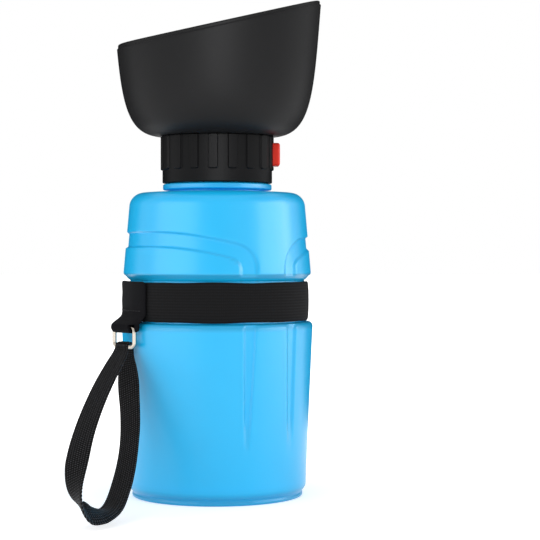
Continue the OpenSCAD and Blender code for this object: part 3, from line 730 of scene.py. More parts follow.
class BOTTLE_OT_strap(bpy.types.Operator):
    """Weave the wrist strap: a loop of webbing folded over the ring"""

    bl_idname = "dog_bottle.strap"
    bl_label = "Wrist strap"

    def execute(self, context):
        size = millimetres(context.scene.strap_sizes)
        path, free, turn = strap_path(size)
        free, turn = free[:, None], turn[:, None]
        tangent = unit(np.roll(path, -1, 0) - np.roll(path, 1, 0))
        w = unit(ALONG_WIRE * (1 - free) + WIDTH_IN_LOOP * free)
        out = unit(np.cross(tangent, w))
        square_on = unit(np.cross(out, tangent))
        wide = unit(w * (1 - free) + square_on * free)
        wide = wide * np.cos(turn) + np.cross(tangent, wide) * np.sin(turn)
        out = unit(np.cross(tangent, wide))
        run = girth(path)
        fold_w = size.ring_w - size.wire_d - 2 * size.ring_bend - FOLD_PLAY_MM
        half_w = (fold_w + (size.webbing_w - fold_w) * free) / 2
        x, y = superellipse(*WEBBING_SECTION)
        weave = weave_height(run[:-1, None], (x + 1) / 2, size.rib_pitch) * np.sign(y)
        half_t = size.webbing_t / 2 - WEAVE_MM
        points = sweep(path, wide, out, half_w * x, half_t * y + weave)
        around = girth(np.column_stack((x * size.webbing_w, y * size.webbing_t)) / 2)
        strap = grid_piece("wrist_strap_webbing", points, True, True, u=around, v=run)
        finish = nylon_webbing(context.scene.finish_colours)
        dress(strap, "strap", finish, "strap_webbing", "wrist_strap")
        # No glossy surface mirrors the strap: the bottle would show it as a dark streak beside it
        strap.visible_glossy = False
        return {"FINISHED"}


# Ring

# Distance between the rounds of points along the wire, points on each bend, and points in a round
RING_STEP_MM = 0.6
BEND_POINTS = 14
WIRE_SIDES = 24


class BOTTLE_OT_ring(bpy.types.Operator):
    """Bend the ring: round wire carried round a rectangle with rounded corners"""

    bl_idname = "dog_bottle.ring"
    bl_label = "Ring"

    def execute(self, context):
        size = millimetres(context.scene.strap_sizes)
        r = size.wire_d / 2
        outline = rounded_rectangle(
            (size.ring_w - size.wire_d) / 2, (size.ring_h - size.wire_d) / 2, size.ring_bend,
            BEND_POINTS)
        outline = fill(np.vstack((outline, outline[:1])), RING_STEP_MM)[:-1]
        middle = HEM - UP * (size.ring_h - size.wire_d) / 2
        path = middle + outline[:, :1] * ALONG_WIRE + outline[:, 1:] * UP
        tangent = unit(np.roll(path, -1, 0) - np.roll(path, 1, 0))
        inwards = np.cross(tangent, OUTWARDS)
        a = np.linspace(0, 2 * np.pi, WIRE_SIDES, endpoint=False)
        side = np.broadcast_to(OUTWARDS, inwards.shape)
        points = sweep(path, side, inwards, r * np.cos(a)[None], r * np.sin(a)[None])
        ring = grid_piece("d_ring_wire", points, True, True)
        finish = grained("nickel_plated_wire", context.scene.finish_colours.plating)
        dress(ring, "ring", finish, "ring_wire", "d_ring")
        return {"FINISHED"}


# Band and tab

TAB_FROM = math.radians(170)
TAB_TO = math.radians(222.5)
TAB_TOP_Z = 89.5
FLARE_TOP_Z = 76.6
FLARE_LOW_Z = 71.8
TAB_GAP = 0.07
# Points round the tab's section and the band's, and the powers that flatten them
TAB_SECTION = (110, 9, 3)
BAND_SECTION = (120, 7, 5)
BAND_COLUMNS = 240
BAND_BULGE = 0.3
BAND_PLAY = 0.05
# The tab's upper corners: how far they drop, from which share of its half width, and the heights
CORNER_DROP = 1.3
CORNER_FROM = 0.84
CORNER_LOW_Z = 85.5
CORNER_H = 3.5
# The tab's upper edge rounds off over this height, and its face ripples by this much
EDGE_H = 0.7
RIPPLE = 0.07
# Reach of the hem along the wire on each side, and how far its ends draw in at its underside
HEM_LEFT = 6.3
HEM_RIGHT = 8.1
LEFT_DRAW = 0.9
RIGHT_DRAW = 2.4
# The hem thins to the tab's thickness over this height, and towards its right end by a share of it
HEM_THINS_H = 4.8
END_THINS_BY = 0.62
END_THINS_FROM = 4.6
END_THINS_OVER = 3.4
# Runs of sections above the hem: first height, last height and count
TAB_RUNS = ((70.5, 77, 26), (77.8, 88.4, 14), (88.8, TAB_TOP_Z, 6))
# Stitches above the hem: their count, height, reach across the tab, radius and half length
STITCH_COUNT = 15
STITCH_Z = 77.6
STITCH_REACH = 0.82
STITCH_R = 0.22
STITCH_HALF_L = 0.62


def tab_section(size, z, x, y):
    """Section of the tab at a height: x runs across it and y through it, both from -1 to 1.

    Above, it is a curved patch on the band; below, a straight hem along the ring's wire. The two
    are mixed by a smooth step over the flare. The hem's thickness is a circle's chord below the
    wire, and thins to the patch's above it. The patch's face ripples by one plus a sine of the place
    times a cosine of it.
    """
    angle = (TAB_FROM + TAB_TO) / 2 + x * (TAB_TO - TAB_FROM) / 2
    beyond = np.clip((np.abs(x) - CORNER_FROM) / (1 - CORNER_FROM), 0, 1)
    corner = CORNER_DROP * (1 - np.sqrt(1 - beyond ** 2))
    lowered = z - corner * smooth((z - CORNER_LOW_Z) / CORNER_H)
    edge = np.clip((z - TAB_TOP_Z + EDGE_H) / (EDGE_H + 0.02), 0, 1)
    edge = np.sqrt(np.clip(1 - edge ** 2, 0.02, 1))
    ripple = RIPPLE * (1 + np.sin(0.85 * z + 3.1 * x) * np.cos(2.3 * x + 0.2 * z))
    r = BAND_R + TAB_GAP + size.tab_t / 2 * (1 + y * edge) + ripple * (y > 0)
    patch = turned(r, lowered, angle)
    below = np.clip(HEM[2] - z, 0, size.hem_r)
    drawn = (below / size.hem_r) ** 2
    w = -x * np.where(x < 0, HEM_LEFT - LEFT_DRAW * drawn, HEM_RIGHT - RIGHT_DRAW * drawn)
    round_r = np.sqrt(np.clip(size.hem_r ** 2 - below ** 2, 0.05, None))
    above = smooth((z - HEM[2]) / HEM_THINS_H)
    half_t = round_r * (1 - above) + size.tab_t / 2 * above
    half_t = half_t * (1 - END_THINS_BY * smooth((-w - END_THINS_FROM) / END_THINS_OVER))
    xy = HEM[:2] + w[..., None] * ALONG_WIRE[:2] + (half_t * y)[..., None] * OUTWARDS[:2]
    hem = np.concatenate((xy, np.broadcast_to(z, w.shape)[..., None]), -1)
    flare = smooth((FLARE_TOP_Z - z) / (FLARE_TOP_Z - FLARE_LOW_Z))[..., None]
    return patch * (1 - flare) + hem * flare


class BOTTLE_OT_band(bpy.types.Operator):
    """Stretch the elastic band round the waist, and sew the tab and its hem on it"""

    bl_idname = "dog_bottle.band"
    bl_label = "Band and tab"

    def execute(self, context):
        size = millimetres(context.scene.strap_sizes)
        colours = context.scene.finish_colours
        self.weave_band(size, colours)
        self.sew_tab(size, colours)
        return {"FINISHED"}

    def weave_band(self, size, colours):
        """A slightly bulged strip, whose edges wander by a quarter of a millimetre."""
        half_h = (BAND_TOP_Z - BAND_LOW_Z) / 2
        half_t = (size.band_t - BAND_BULGE) / 2
        x, y = superellipse(*BAND_SECTION)
        angles = np.linspace(0, 2 * np.pi, BAND_COLUMNS, endpoint=False)[:, None]
        bulge = BAND_BULGE * (1 - x ** 2) * (y > 0)
        r = BAND_R - BAND_PLAY - size.band_t + half_t * (1 + y) + bulge
        sway = 0.12 * np.sin(5 * angles + 0.6) + 0.1 * np.sin(9 * angles)
        z = (BAND_LOW_Z + BAND_TOP_Z) / 2 - half_h * x + sway * x
        around = np.linspace(0, 2 * np.pi * BAND_R, len(angles) + 1)
        points = np.swapaxes(turned(r, z, angles), 0, 1)
        band = grid_piece(
            "elastic_band_woven", points, True, True, u=around,
            v=girth(np.column_stack((x * half_h, y))))
        dress(band, "bottle_body", woven_elastic(colours), "band_elastic", "elastic_band")

    def sew_tab(self, size, colours):
        """The tab as a loft of sections, with slots for the ring's arms and a bore for its wire."""
        runs = ((HEM[2] - size.hem_r + 0.03, 70.2, 10), *TAB_RUNS)
        z = np.concatenate([np.linspace(*run) for run in runs])[:, None]
        x, y = superellipse(*TAB_SECTION)
        points = tab_section(size, z, x[None], y[None])
        middles = points.mean(1)
        tab = grid_piece(
            "band_tab_knit", points, close_cols=True, poles=(middles[0], middles[-1]),
            u=girth(points[-1]), v=np.append(z[:, 0], TAB_TOP_Z))
        wire_r = size.wire_d / 2
        inner = size.ring_w / 2 - wire_r - size.ring_bend + 0.1
        outer = size.ring_w / 2 + 0.2
        high = HEM[2] + wire_r + 0.3
        wire = arc(0, HEM[2], wire_r + 0.1, 0, 345, 24)
        cutters = (
            self.slot("right_slot", -outer, -inner, high, 20),
            self.slot("left_slot", inner, outer, high - 0.4, wire_r + 0.15),
            prism("bore", wire, -outer, outer - 0.4, OUTWARDS, UP, ALONG_WIRE))
        to_hem = Matrix.Translation(Vector(HEM * (1, 1, 0)) * MM)
        for cutter in cutters:
            cutter.data.transform(to_hem)
        cut(tab, *cutters)
        tab.data.materials.append(stretch_fabric(colours))
        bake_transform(tab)
        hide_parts("band_tab")
        self.sew_hem(size, colours)

    def slot(self, name, left, right, top, half_depth):
        """A block that clears one of the ring's arms, from below the hem up to a height."""
        low = HEM[2] - 12
        outline = np.array([[left, low], [right, low], [right, top], [left, top]])
        return prism(name, outline, -half_depth, half_depth, ALONG_WIRE, UP, -OUTWARDS)

    def sew_hem(self, size, colours):
        """One row of stitches above the hem, sunk by half into the fabric's face."""
        x = np.linspace(-STITCH_REACH, STITCH_REACH, STITCH_COUNT)
        face = tab_section(size, np.full(STITCH_COUNT, STITCH_Z), x, np.ones(STITCH_COUNT))
        along = unit(np.gradient(face, axis=0))
        stitches = capsules("tab_stitches", face, along, STITCH_R, STITCH_HALF_L)
        thread = grained("polyester_thread_bonded", colours.tab, 1.6)
        dress(stitches, "bottle_body", thread, "tab_fabric")


# Bottle

ARCH_TURN_DEG = 74
ARCH_H = 16.7
ARCH_TOP_X = -29.0
ARCH_CURVE = 0.0038
ARCH_FOOT_X = 15.3
ARCH_TURN_R = 9.5
ARCH_IN_R = 5.0
SMALL_FOOT_X = 27.9
SMALL_IN_FOOT_X = 31.3
SMALL_R = 13.0
SMALL_IN_R = 4.0
SMALL_END_H = 18.9
SMALL_IN_END_H = 18.1
SMALL_FOOT_H = 5.7
SMALL_TURN_DEG = 124
SMALL_FAR_X = 45
# Widths over which the big ribbon's outer and inner edges slope, and what its foot adds to them
OUTER_SLOPE = (0.75, 0.65)
INNER_SLOPE = (0.65, 0.85)
FLUTE_LOW_Z = 19.5
# Left edge and upper width of each flute, and how the width narrows down its height
FLUTES = ((10.7, 4.6), (28.4, 3.5))
FLUTE_SHARES = (0, 0.21, 0.95, 1)
# The lower body's straight wall runs between its bottom corner and its top edge's rounding, and the
# upper body's starts over its own rounding
CORNER_Z = 5.6
EDGE_R = 2.0
UP_EDGE_H = 3.0
# Steps of the outline: inside, outside, at the upper body's foot, on the arches and on the thread
INSIDE_STEP = 9.0
OUTSIDE_STEP = 2.0
FOOT_STEP = 0.5
ARCH_STEP = 0.25
THREAD_STEP = 0.32
# Columns of the bottle: wide and close spacing, and where they stand close: middle and half width
COLUMN_MM = 2.0
CLOSE_COLUMN_MM = 0.335
CLOSE_AT = ((12.6, 5.6), (29.9, 4.4))
CLOSE_FADE = 1.5
BODY_R = 38.0
# How much painted shade darkens the colour: on the relief's slopes, in the folds and at the bottom corner
PAINTED_SHADE = {"arches": 0.38, "flutes": 0.22, "waist": 0.85, "under_band": 0.7, "corner": 0.85}


def bottle_outline(size):
    """Radius and height of the shell, from under its base, up its outside and down its inside."""
    s = size
    neck_z = s.shoulder_z + s.shoulder_r + 0.2
    ring_z = neck_z + s.neck_gap
    ring_top_z = ring_z + s.ring_t
    outside = np.vstack((
        [[1, 3.1], [8, 3.1], [18, 2.9], [s.foot_r - 8.5, 2.6], [s.foot_r - 7.4, 2.2], [s.foot_r - 4.8, 0.25]],
        [[s.foot_r - 4.2, 0]], arc(s.foot_r - 0.6, 0.6, 0.6, -90, 0, 5),
        [[s.foot_r, 1.3], [s.foot_r - 0.3, 1.7]],
        arc(s.low_r - 3.4, 5.2, 3.4, -55, 0, 10),
        [[s.low_r + 0.23, 12]],
        [[s.low_top_r - 0.1, s.low_top_z - 3.2]],
        arc(s.low_top_r - 2, s.low_top_z - 2, 2, 2, 68, 9),
        [[s.groove_r, s.low_top_z], [s.groove_r, s.up_low_z], [s.groove_r + 0.5, s.up_low_z + 0.1]],
        arc(s.up_r - 1, s.up_low_z + 2.9, 0.9, -50, -3, 6),
        [[s.up_r - 0.12, s.up_low_z + 3.6]],
        arc(s.up_top_r - s.shoulder_r, s.shoulder_z, s.shoulder_r, 3, 86, 18),
        [[s.neck_r + 1, neck_z - 0.3], [s.neck_r + 0.2, neck_z], [s.neck_r + 0.2, ring_z]],
        arc(s.ring_r - 0.7, ring_z + 0.7, 0.7, -90, 0, 6),
        arc(s.ring_r - 0.7, ring_top_z - 0.7, 0.7, 0, 90, 6),
        [[s.neck_r, ring_top_z], [s.neck_r, LIP_Z - 0.4], [s.neck_r - 0.4, LIP_Z]]))
    inside = np.vstack((
        [[s.bore_r + 0.3, LIP_Z], [s.bore_r, LIP_Z - 0.3], [s.bore_r, neck_z - s.wall - 0.2]],
        arc(s.up_top_r - s.shoulder_r, s.shoulder_z, s.shoulder_r - s.wall, 86, 0, 8),
        [[s.up_r - s.wall, s.up_low_z + s.wall + 2], [s.groove_r - s.wall, s.up_low_z + s.wall]],
        [[s.groove_r - s.wall, s.low_top_z - s.wall], [s.low_top_r - s.wall, s.low_top_z - 2 - s.wall]],
        arc(s.low_r - s.wall - 3, 5.6, 3, 0, -80, 6),
        [[s.foot_r - 4, s.wall + 0.2], [s.foot_r - 7, 2.6 + s.wall], [1, 2.6 + s.wall]]))
    outline = soften(np.vstack((outside, inside)), 0.35)
    mid_z = (outline[:-1, 1] + outline[1:, 1]) / 2
    outer = np.arange(len(mid_z)) < np.argmax(outline[:, 1])
    step = np.where(outer, OUTSIDE_STEP, INSIDE_STEP)
    for low, high, spacing in (
            (s.up_low_z, s.up_low_z + 7, FOOT_STEP), (s.up_low_z + 7, s.up_low_z + 23, ARCH_STEP),
            (LIP_Z - 6.5, LIP_Z + 1, THREAD_STEP)):
        step[outer & (mid_z > low) & (mid_z < high)] = spacing
    return fill(outline, step)


def arch_depth(x, z, foot_x, rise, r, base_z):
    """How far a point lies under the big arch's edge, in millimetres; negative above it.

    The edge is a parabola, then a circle's arc down to 0 degrees, then an upright foot.
    """
    turn = math.radians(ARCH_TURN_DEG)
    cx = foot_x - r
    top_z = base_z + ARCH_H + rise
    turn_x = cx + r * math.cos(turn)
    cz = top_z - ARCH_CURVE * (turn_x - ARCH_TOP_X) ** 2 - r * math.sin(turn)
    slope = 2 * ARCH_CURVE * (x - ARCH_TOP_X)
    under = (top_z - ARCH_CURVE * (x - ARCH_TOP_X) ** 2 - z) / np.hypot(1, slope)
    a = np.arctan2(z - cz, x - cx)
    beside = np.where(a > 0, r - np.hypot(x - cx, z - cz), foot_x - x)
    return np.where((a > turn) | (a < -np.pi / 2), np.minimum(under, foot_x - x), beside)


def small_arch_depth(x, z, foot_x, r, end_z, base_z):
    """How far a point lies under the small arch's edge: an upright foot, an arc and a straight rise."""
    cx = foot_x + r
    cz = base_z + SMALL_FOOT_H
    turn = math.radians(SMALL_TURN_DEG)
    from_x = cx + r * math.cos(turn)
    from_z = cz + r * math.sin(turn)
    rise = (end_z - from_z) / (SMALL_FAR_X - from_x)
    under = (from_z + rise * (x - from_x) - z) / math.hypot(1, rise)
    beside = np.where(z < cz, x - foot_x, r - np.hypot(x - cx, z - cz))
    return np.where((np.arctan2(z - cz, x - cx) > turn) | (z < cz), beside, under)


def relief(size, x, z):
    """Share of the full relief at a place on the body: 1 on a ribbon's or flute's floor, 0 outside it."""
    base = size.up_low_z
    half = size.ribbon_w / 2
    big = arch_depth(x, z, ARCH_FOOT_X, half, ARCH_TURN_R, base)
    big_in = arch_depth(x, z, ARCH_FOOT_X - size.ribbon_w * 0.95, -half, ARCH_IN_R, base)
    outer_w = OUTER_SLOPE[0] + OUTER_SLOPE[1] * smooth((x + 5) / 14)
    inner_w = INNER_SLOPE[0] + INNER_SLOPE[1] * smooth((x - 4) / 3.5) * smooth((base + 13 - z) / 5)
    ribbon = ramp((big + outer_w) / outer_w) * ramp((inner_w - big_in) / inner_w)
    small = small_arch_depth(x, z, SMALL_FOOT_X, SMALL_R, base + SMALL_END_H, base)
    small_in = small_arch_depth(x, z, SMALL_IN_FOOT_X, SMALL_IN_R, base + SMALL_IN_END_H, base)
    small_ribbon = ramp((small + 0.6) / 0.7) * ramp((0.8 - small_in) / 0.9)
    arches = np.maximum(ribbon, small_ribbon) * (z > base - 1)
    top = size.low_top_z + 1
    share = np.clip((top - z) / (top - FLUTE_LOW_Z), 0, 1)
    flutes = 0
    for left, wide in FLUTES:
        right = left + np.interp(share, FLUTE_SHARES, (wide, wide - 0.4, 1.9, 0.9))
        flutes = np.maximum(flutes, ramp((x - left + 0.4) / 1.2) * ramp((right - x + 0.4) / 0.8))
    ending = smooth((z - FLUTE_LOW_Z) / 16)
    return np.where(z > size.low_top_z + 2, arches, flutes * ending * (z < top))


def column_angles():
    """Angles of the bottle's columns, which stand close at the flutes and the arches' feet."""
    fine = np.linspace(0, 2 * np.pi, 7201)
    x = BODY_R * np.cos(fine)
    close = np.max([smooth((half_w - np.abs(x - at)) / CLOSE_FADE) for at, half_w in CLOSE_AT], axis=0)
    spacing = COLUMN_MM + (CLOSE_COLUMN_MM - COLUMN_MM) * close
    total = np.concatenate(([0], np.cumsum(BODY_R * np.diff(fine) / spacing[1:])))
    count = int(total[-1])
    return np.interp(np.arange(count) * total[-1] / count, total, fine)


def thread_ridge(z, angle, size):
    """Height of a right-hand thread's ridge, which rises by a pitch in a turn and fades at both ends."""
    place = (z - THREAD_LOW_Z) / size.thread_pitch - angle / (2 * np.pi)
    off = np.abs(place - np.floor(place) - 0.5) * size.thread_pitch
    fade = smooth((z - THREAD_LOW_Z) / 0.6) * smooth((THREAD_TOP_Z - z) / 0.6)
    return size.thread_d * smooth((0.85 - off) / 0.5) * fade


def straight(z, low_z, low_r, high_z, high_r):
    """Radius at a height, on a straight line through two radii at their heights."""
    return low_r + (high_r - low_r) * (z - low_z) / (high_z - low_z)


class BOTTLE_OT_bottle(bpy.types.Operator):
    """Blow the bottle: a turned shell with arches, flutes and a neck thread"""

    bl_idname = "dog_bottle.bottle"
    bl_label = "Bottle"

    def execute(self, context):
        size = millimetres(context.scene.bottle_sizes)
        outline = bottle_outline(size)
        r, z = outline[:, :1], outline[:, 1:]
        angles = column_angles()[None]
        x = r * np.cos(angles)
        low = straight(z, CORNER_Z, size.low_r, size.low_top_z - EDGE_R, size.low_top_r)
        high = straight(z, size.up_low_z + UP_EDGE_H, size.up_r, size.shoulder_z, size.up_top_r)
        floor = np.where(z > size.low_top_z + 2, high, low) - size.relief
        share = relief(size, x, z)
        outside = smooth((r - floor + 1.2) / 0.4)
        r = r - share * np.maximum(0, r - floor)
        on_neck = np.abs(outline[:, :1] - size.neck_r) < 0.05
        points = turned(r + on_neck * thread_ridge(z, angles, size), z, angles)
        bottle = grid_piece(
            "bottle_shell", points, close_cols=True,
            poles=((0, 0, outline[0, 1]), (0, 0, outline[-1, 1])))
        self.mark_painted_shade(bottle, size, share, outside, np.broadcast_to(z, share.shape))
        finish = moulded_polyethylene(context.scene.finish_colours)
        dress(bottle, "bottle_body", finish, "bottle_shell", "bottle")
        return {"FINISHED"}

    def mark_painted_shade(self, bottle, size, share, outside, z):
        """Marks where painted shade darkens the colour: the relief's slopes, the folds at the waist, the
        bottom corner.

        A slope's mark is four times the relief's share times one less that share.
        """
        slopes = np.where(z > size.low_top_z + 2, PAINTED_SHADE["arches"], PAINTED_SHADE["flutes"])
        slopes = slopes * 4 * share * (1 - share)
        above_waist = smooth((z - size.up_low_z + 0.8) / 0.6) * smooth((size.up_low_z + 3.1 - z) / 0.7)
        under_band = smooth((z - size.low_top_z + 2.9) / 1.2) * smooth((size.low_top_z + 0.6 - z) / 0.3)
        corner = smooth((6.0 - z) / 3.0)
        folds = outside * (
            PAINTED_SHADE["waist"] * above_waist + PAINTED_SHADE["under_band"] * under_band
            + PAINTED_SHADE["corner"] * corner)
        marks = np.append(np.maximum(slopes, folds).ravel(), (0, 0)).astype(np.float32)
        # The marks are stored on the mesh as painted shade
        bottle.data.attributes.new("crease", "FLOAT", "POINT").data.foreach_set("value", marks)


# Collar and button

RIB_COUNT = 18
RIB_PHASE_DEG = -94.3
RIB_CORNER = 0.9
WINDOW_GAP = 0.25
# Distances of the columns from a rib's middle, closest at its edge
RIB_COLUMNS = np.array([0, 0.9, 1.5, 1.7, 1.8, 1.88, 1.96, 2.04, 2.14, 2.3, 2.9, 3.5])


class BOTTLE_OT_collar(bpy.types.Operator):
    """Mould the screw collar: a cap ring with grip ribs, an inner thread and the button's window"""

    bl_idname = "dog_bottle.collar"
    bl_label = "Collar"

    def execute(self, context):
        size = millimetres(context.scene.cap_sizes)
        thread = millimetres(context.scene.bottle_sizes)
        r_out, bore_r, hole_r = size.collar_r, size.bore_r, size.deck_hole_r
        rib_z = COLLAR_Z + size.skirt_h
        deck_z = FLOOR_Z - size.deck_t
        runs = (
            (COLLAR_Z + 0.9, COLLAR_Z + 3, 2), (rib_z - 0.5, rib_z + 1.4, 14),
            (rib_z + 2.6, FLOOR_Z - 1, 6))
        wall_z = np.concatenate([np.linspace(*run) for run in runs])
        outline = np.vstack((
            [[bore_r + 0.4, COLLAR_Z], [r_out - 0.5, COLLAR_Z]],
            arc(r_out - 0.5, COLLAR_Z + 0.5, 0.5, -75, 0, 5),
            np.column_stack((np.full(len(wall_z), r_out), wall_z)),
            arc(r_out - 0.5, FLOOR_Z - 0.5, 0.5, 0, 90, 6),
            [[hole_r + 0.3, FLOOR_Z], [hole_r, FLOOR_Z - 0.3], [hole_r, deck_z]],
            [[bore_r - 0.2, deck_z], [bore_r, deck_z - 0.2]],
            fill([[bore_r, deck_z - 0.6], [bore_r, COLLAR_Z + 0.4]], 0.5)))
        r, z = outline[:, :1], outline[:, 1:]
        offset = np.concatenate((-RIB_COLUMNS[:0:-1], RIB_COLUMNS, [math.pi * r_out / RIB_COUNT]))
        centres = np.radians(RIB_PHASE_DEG) + np.arange(RIB_COUNT)[:, None] * 2 * np.pi / RIB_COUNT
        angles = (centres + offset / r_out).ravel()[None]
        across = np.abs(np.tile(offset, RIB_COUNT))[None]
        rib = self.rib_height(size, across, z - rib_z) * (r > r_out - 0.51) * smooth((FLOOR_Z - z) / 0.5)
        inner = np.abs(r - bore_r) < 0.01
        ridge = inner * thread_ridge(z + thread.thread_pitch / 2, angles, thread)
        collar = grid_piece("screw_collar_moulded", turned(r + rib - ridge, z, angles), True, True)
        window = rounded_rectangle(size.button_w / 2 + WINDOW_GAP, size.button_h / 2 + WINDOW_GAP, 1.0)
        cut(collar, prism("window", window + (0, SPOOL_Z), bore_r - 3, bore_r + 10, AWAY, UP, TO_BUTTON))
        finish = grained("polypropylene_moulded", context.scene.finish_colours.collar, use="_collar")
        dress(collar, "cap", finish, "collar_plastic", "screw_collar")
        return {"FINISHED"}

    def rib_height(self, size, across, above):
        """A plank with rounded lower corners: full height inside its edge, none 0.3 mm outside it."""
        qx = across - (size.rib_w / 2 - RIB_CORNER)
        qz = RIB_CORNER - above
        edge = np.hypot(np.maximum(qx, 0), np.maximum(qz, 0)) + np.minimum(np.maximum(qx, qz), 0)
        return size.rib_out * smooth((0.12 + RIB_CORNER - edge) / 0.3)


# Slices of the button's flange and neck: depth from its back, and what its half width and half
# height have more than the face's. Two slices of the shaft lie at these depths from the axis.
FLANGE = (
    (0, 1, -0.4), (0.15, 1.2, -0.2), (1.65, 1.2, -0.2), (1.8, 1.05, -0.35), (1.8, 0.2, -0.1),
    (2.2, 0, 0),
)
SHAFT_X = (22, 24)
# The face's dome: how far each slice lies behind its middle, its share of the face, and its corner
DOME = ((0.06, 0.72, 0.5), (0.02, 0.36, 0.3))
EDGE_BACK = 0.12
EDGE_SLICES = 8


class BOTTLE_OT_button(bpy.types.Operator):
    """Mould the push button: rounded slices from its flange to its soft front edge"""

    bl_idname = "dog_bottle.button"
    bl_label = "Push button"

    def execute(self, context):
        size = millimetres(context.scene.cap_sizes)
        w, h, edge = size.button_w / 2, size.button_h / 2, size.button_edge
        back, face = BUTTON_BACK_X, BUTTON_FACE_X
        slices = [(back + depth, w + wider, h + higher, 1.0) for depth, wider, higher in FLANGE]
        slices += [(x, w, h, 1.0) for x in SHAFT_X]
        turn = np.radians(np.linspace(0, 90, EDGE_SLICES))
        inset = edge * (1 - np.cos(turn))
        front_x = face - EDGE_BACK - edge + edge * np.sin(turn)
        slices += zip(front_x, w - inset, h - inset, 1.0 - 0.4 * inset / edge)
        slices += [(face - behind, (w - edge) * part, (h - edge) * part, r) for behind, part, r in DOME]
        points = np.array([
            np.insert(rounded_rectangle(*sizes), 0, x, axis=1) + (0, 0, SPOOL_Z) for x, *sizes in slices])
        button = grid_piece(
            "flow_button_moulded", points, close_cols=True,
            poles=((back, 0, SPOOL_Z), (face, 0, SPOOL_Z)))
        finish = grained("abs_moulded_red", context.scene.finish_colours.button)
        dress(button, "button", finish, "button_plastic", "flow_button")
        return {"FINISHED"}


# Scoop

BELLY_LOW_R = 40.0
BELLY_DIP = 0.4
BELLY_R = 40.4
BELLY_H = 17.5
MOUTH_R = 43.7
MOUTH_H = 59.8
RIM_SLANT = math.radians(12.6)
RIM_FALL = 0.135
RIM_ROUND = 1.5
# The rim's edge: its height, and the power that squares it
EDGE_DROP = 0.75
EDGE_POWER = 0.7
SCOOP_COLUMNS = 320
CURVE_STEPS = 800


class BOTTLE_OT_scoop(bpy.types.Operator):
    """Mould the drinking scoop: a turned rubber wall cut by a slanted, dipping rim"""

    bl_idname = "dog_bottle.scoop"
    bl_label = "Drinking scoop"

    def execute(self, context):
        size = millimetres(context.scene.cap_sizes)
        angles = np.linspace(0, 2 * np.pi, SCOOP_COLUMNS, endpoint=False)
        hole, t, step, lip_h = size.scoop_hole_r, size.scoop_t, size.lip_step, size.lip_h
        top = FLOOR_Z + t
        under = [[hole + 0.2, FLOOR_Z], [17, FLOOR_Z], [20, FLOOR_Z]]
        floor = [[17.5, top], [hole + 0.2, top], [hole, top - 0.2], [hole, FLOOR_Z + 0.2]]
        climb = np.linspace(0, 1, 64) ** 0.9
        lip = ((0.03, lip_h + 0.12), (0.2, lip_h), (0.42, lip_h - 0.02), (step, lip_h - 0.2), (step, 1.1))
        a = np.linspace(0, np.pi, 13)
        across = np.sign(np.cos(a)) * np.abs(np.cos(a)) ** EDGE_POWER
        inset = (step + t) / 2 - (t - step) / 2 * across
        drop = EDGE_DROP * (1 - np.sin(a) ** EDGE_POWER)
        rows = [
            self.flat(under, angles), self.wall(size, angles, 0.0, lip_h + 0.3, climb),
            *(self.wall(size, angles, *place, np.ones(1)) for place in (*lip, *zip(inset, drop))),
            self.wall(size, angles, t, 1.4, climb[::-1]), self.flat(floor, angles)]
        scoop = grid_piece("drinking_scoop_moulded", np.concatenate(rows), True, True)
        finish = grained("thermoplastic_rubber_moulded", context.scene.finish_colours.scoop)
        dress(scoop, "cap", finish, "bowl_rubber", "bowl")
        return {"FINISHED"}

    def flat(self, outline, angles):
        """Rows of the scoop's floor, which is turned."""
        outline = np.array(outline)
        return turned(outline[:, :1], outline[:, 1:], angles[None])

    def curve(self, size, inset, t):
        """Wall outline drawn in by an inset: a cubic Bezier curve from the floor to above the rim."""
        r = (size.collar_r - inset, BELLY_LOW_R - inset, BELLY_R - inset, MOUTH_R - inset)
        z = (inset, inset - BELLY_DIP, BELLY_H, MOUTH_H)
        weight = ((1 - t) ** 3, 3 * (1 - t) ** 2 * t, 3 * (1 - t) * t * t, t ** 3)
        return sum(w * p for w, p in zip(weight, r)), FLOOR_Z + sum(w * p for w, p in zip(weight, z))

    def rim_height(self, size, x, y, drop):
        """Height of the rim's surface: a plane tilted up towards the button, less a hyperbola.

        The hyperbola is level at y = 0 and falls off on both sides at a steady slope.
        """
        dip = np.sqrt((RIM_FALL * y) ** 2 + RIM_ROUND ** 2) - RIM_ROUND
        return FLOOR_Z + size.scoop_h - drop + (x * math.sin(RIM_SLANT) - dip) / math.cos(RIM_SLANT)

    def wall(self, size, angles, inset, drop, share):
        """Rows of wall from the floor to where the outline meets the rim, for each angle.

        The meeting point is found on a fine table of the curve, by a straight line between the two
        entries on either side of the rim.
        """
        t = np.linspace(0, 1, CURVE_STEPS + 1)[:, None]
        r, z = self.curve(size, inset, t)
        over = z - self.rim_height(size, r * np.cos(angles), r * np.sin(angles), drop)
        first = np.argmax(over > 0, axis=0)
        column = np.arange(len(angles))
        before, after = over[first - 1, column], over[first, column]
        meet = (first - 1 + before / (before - after)) / CURVE_STEPS
        r, z = self.curve(size, inset, share[:, None] * meet[None])
        return turned(r, z, angles[None])


# Pieces that keep the frame's own meshes


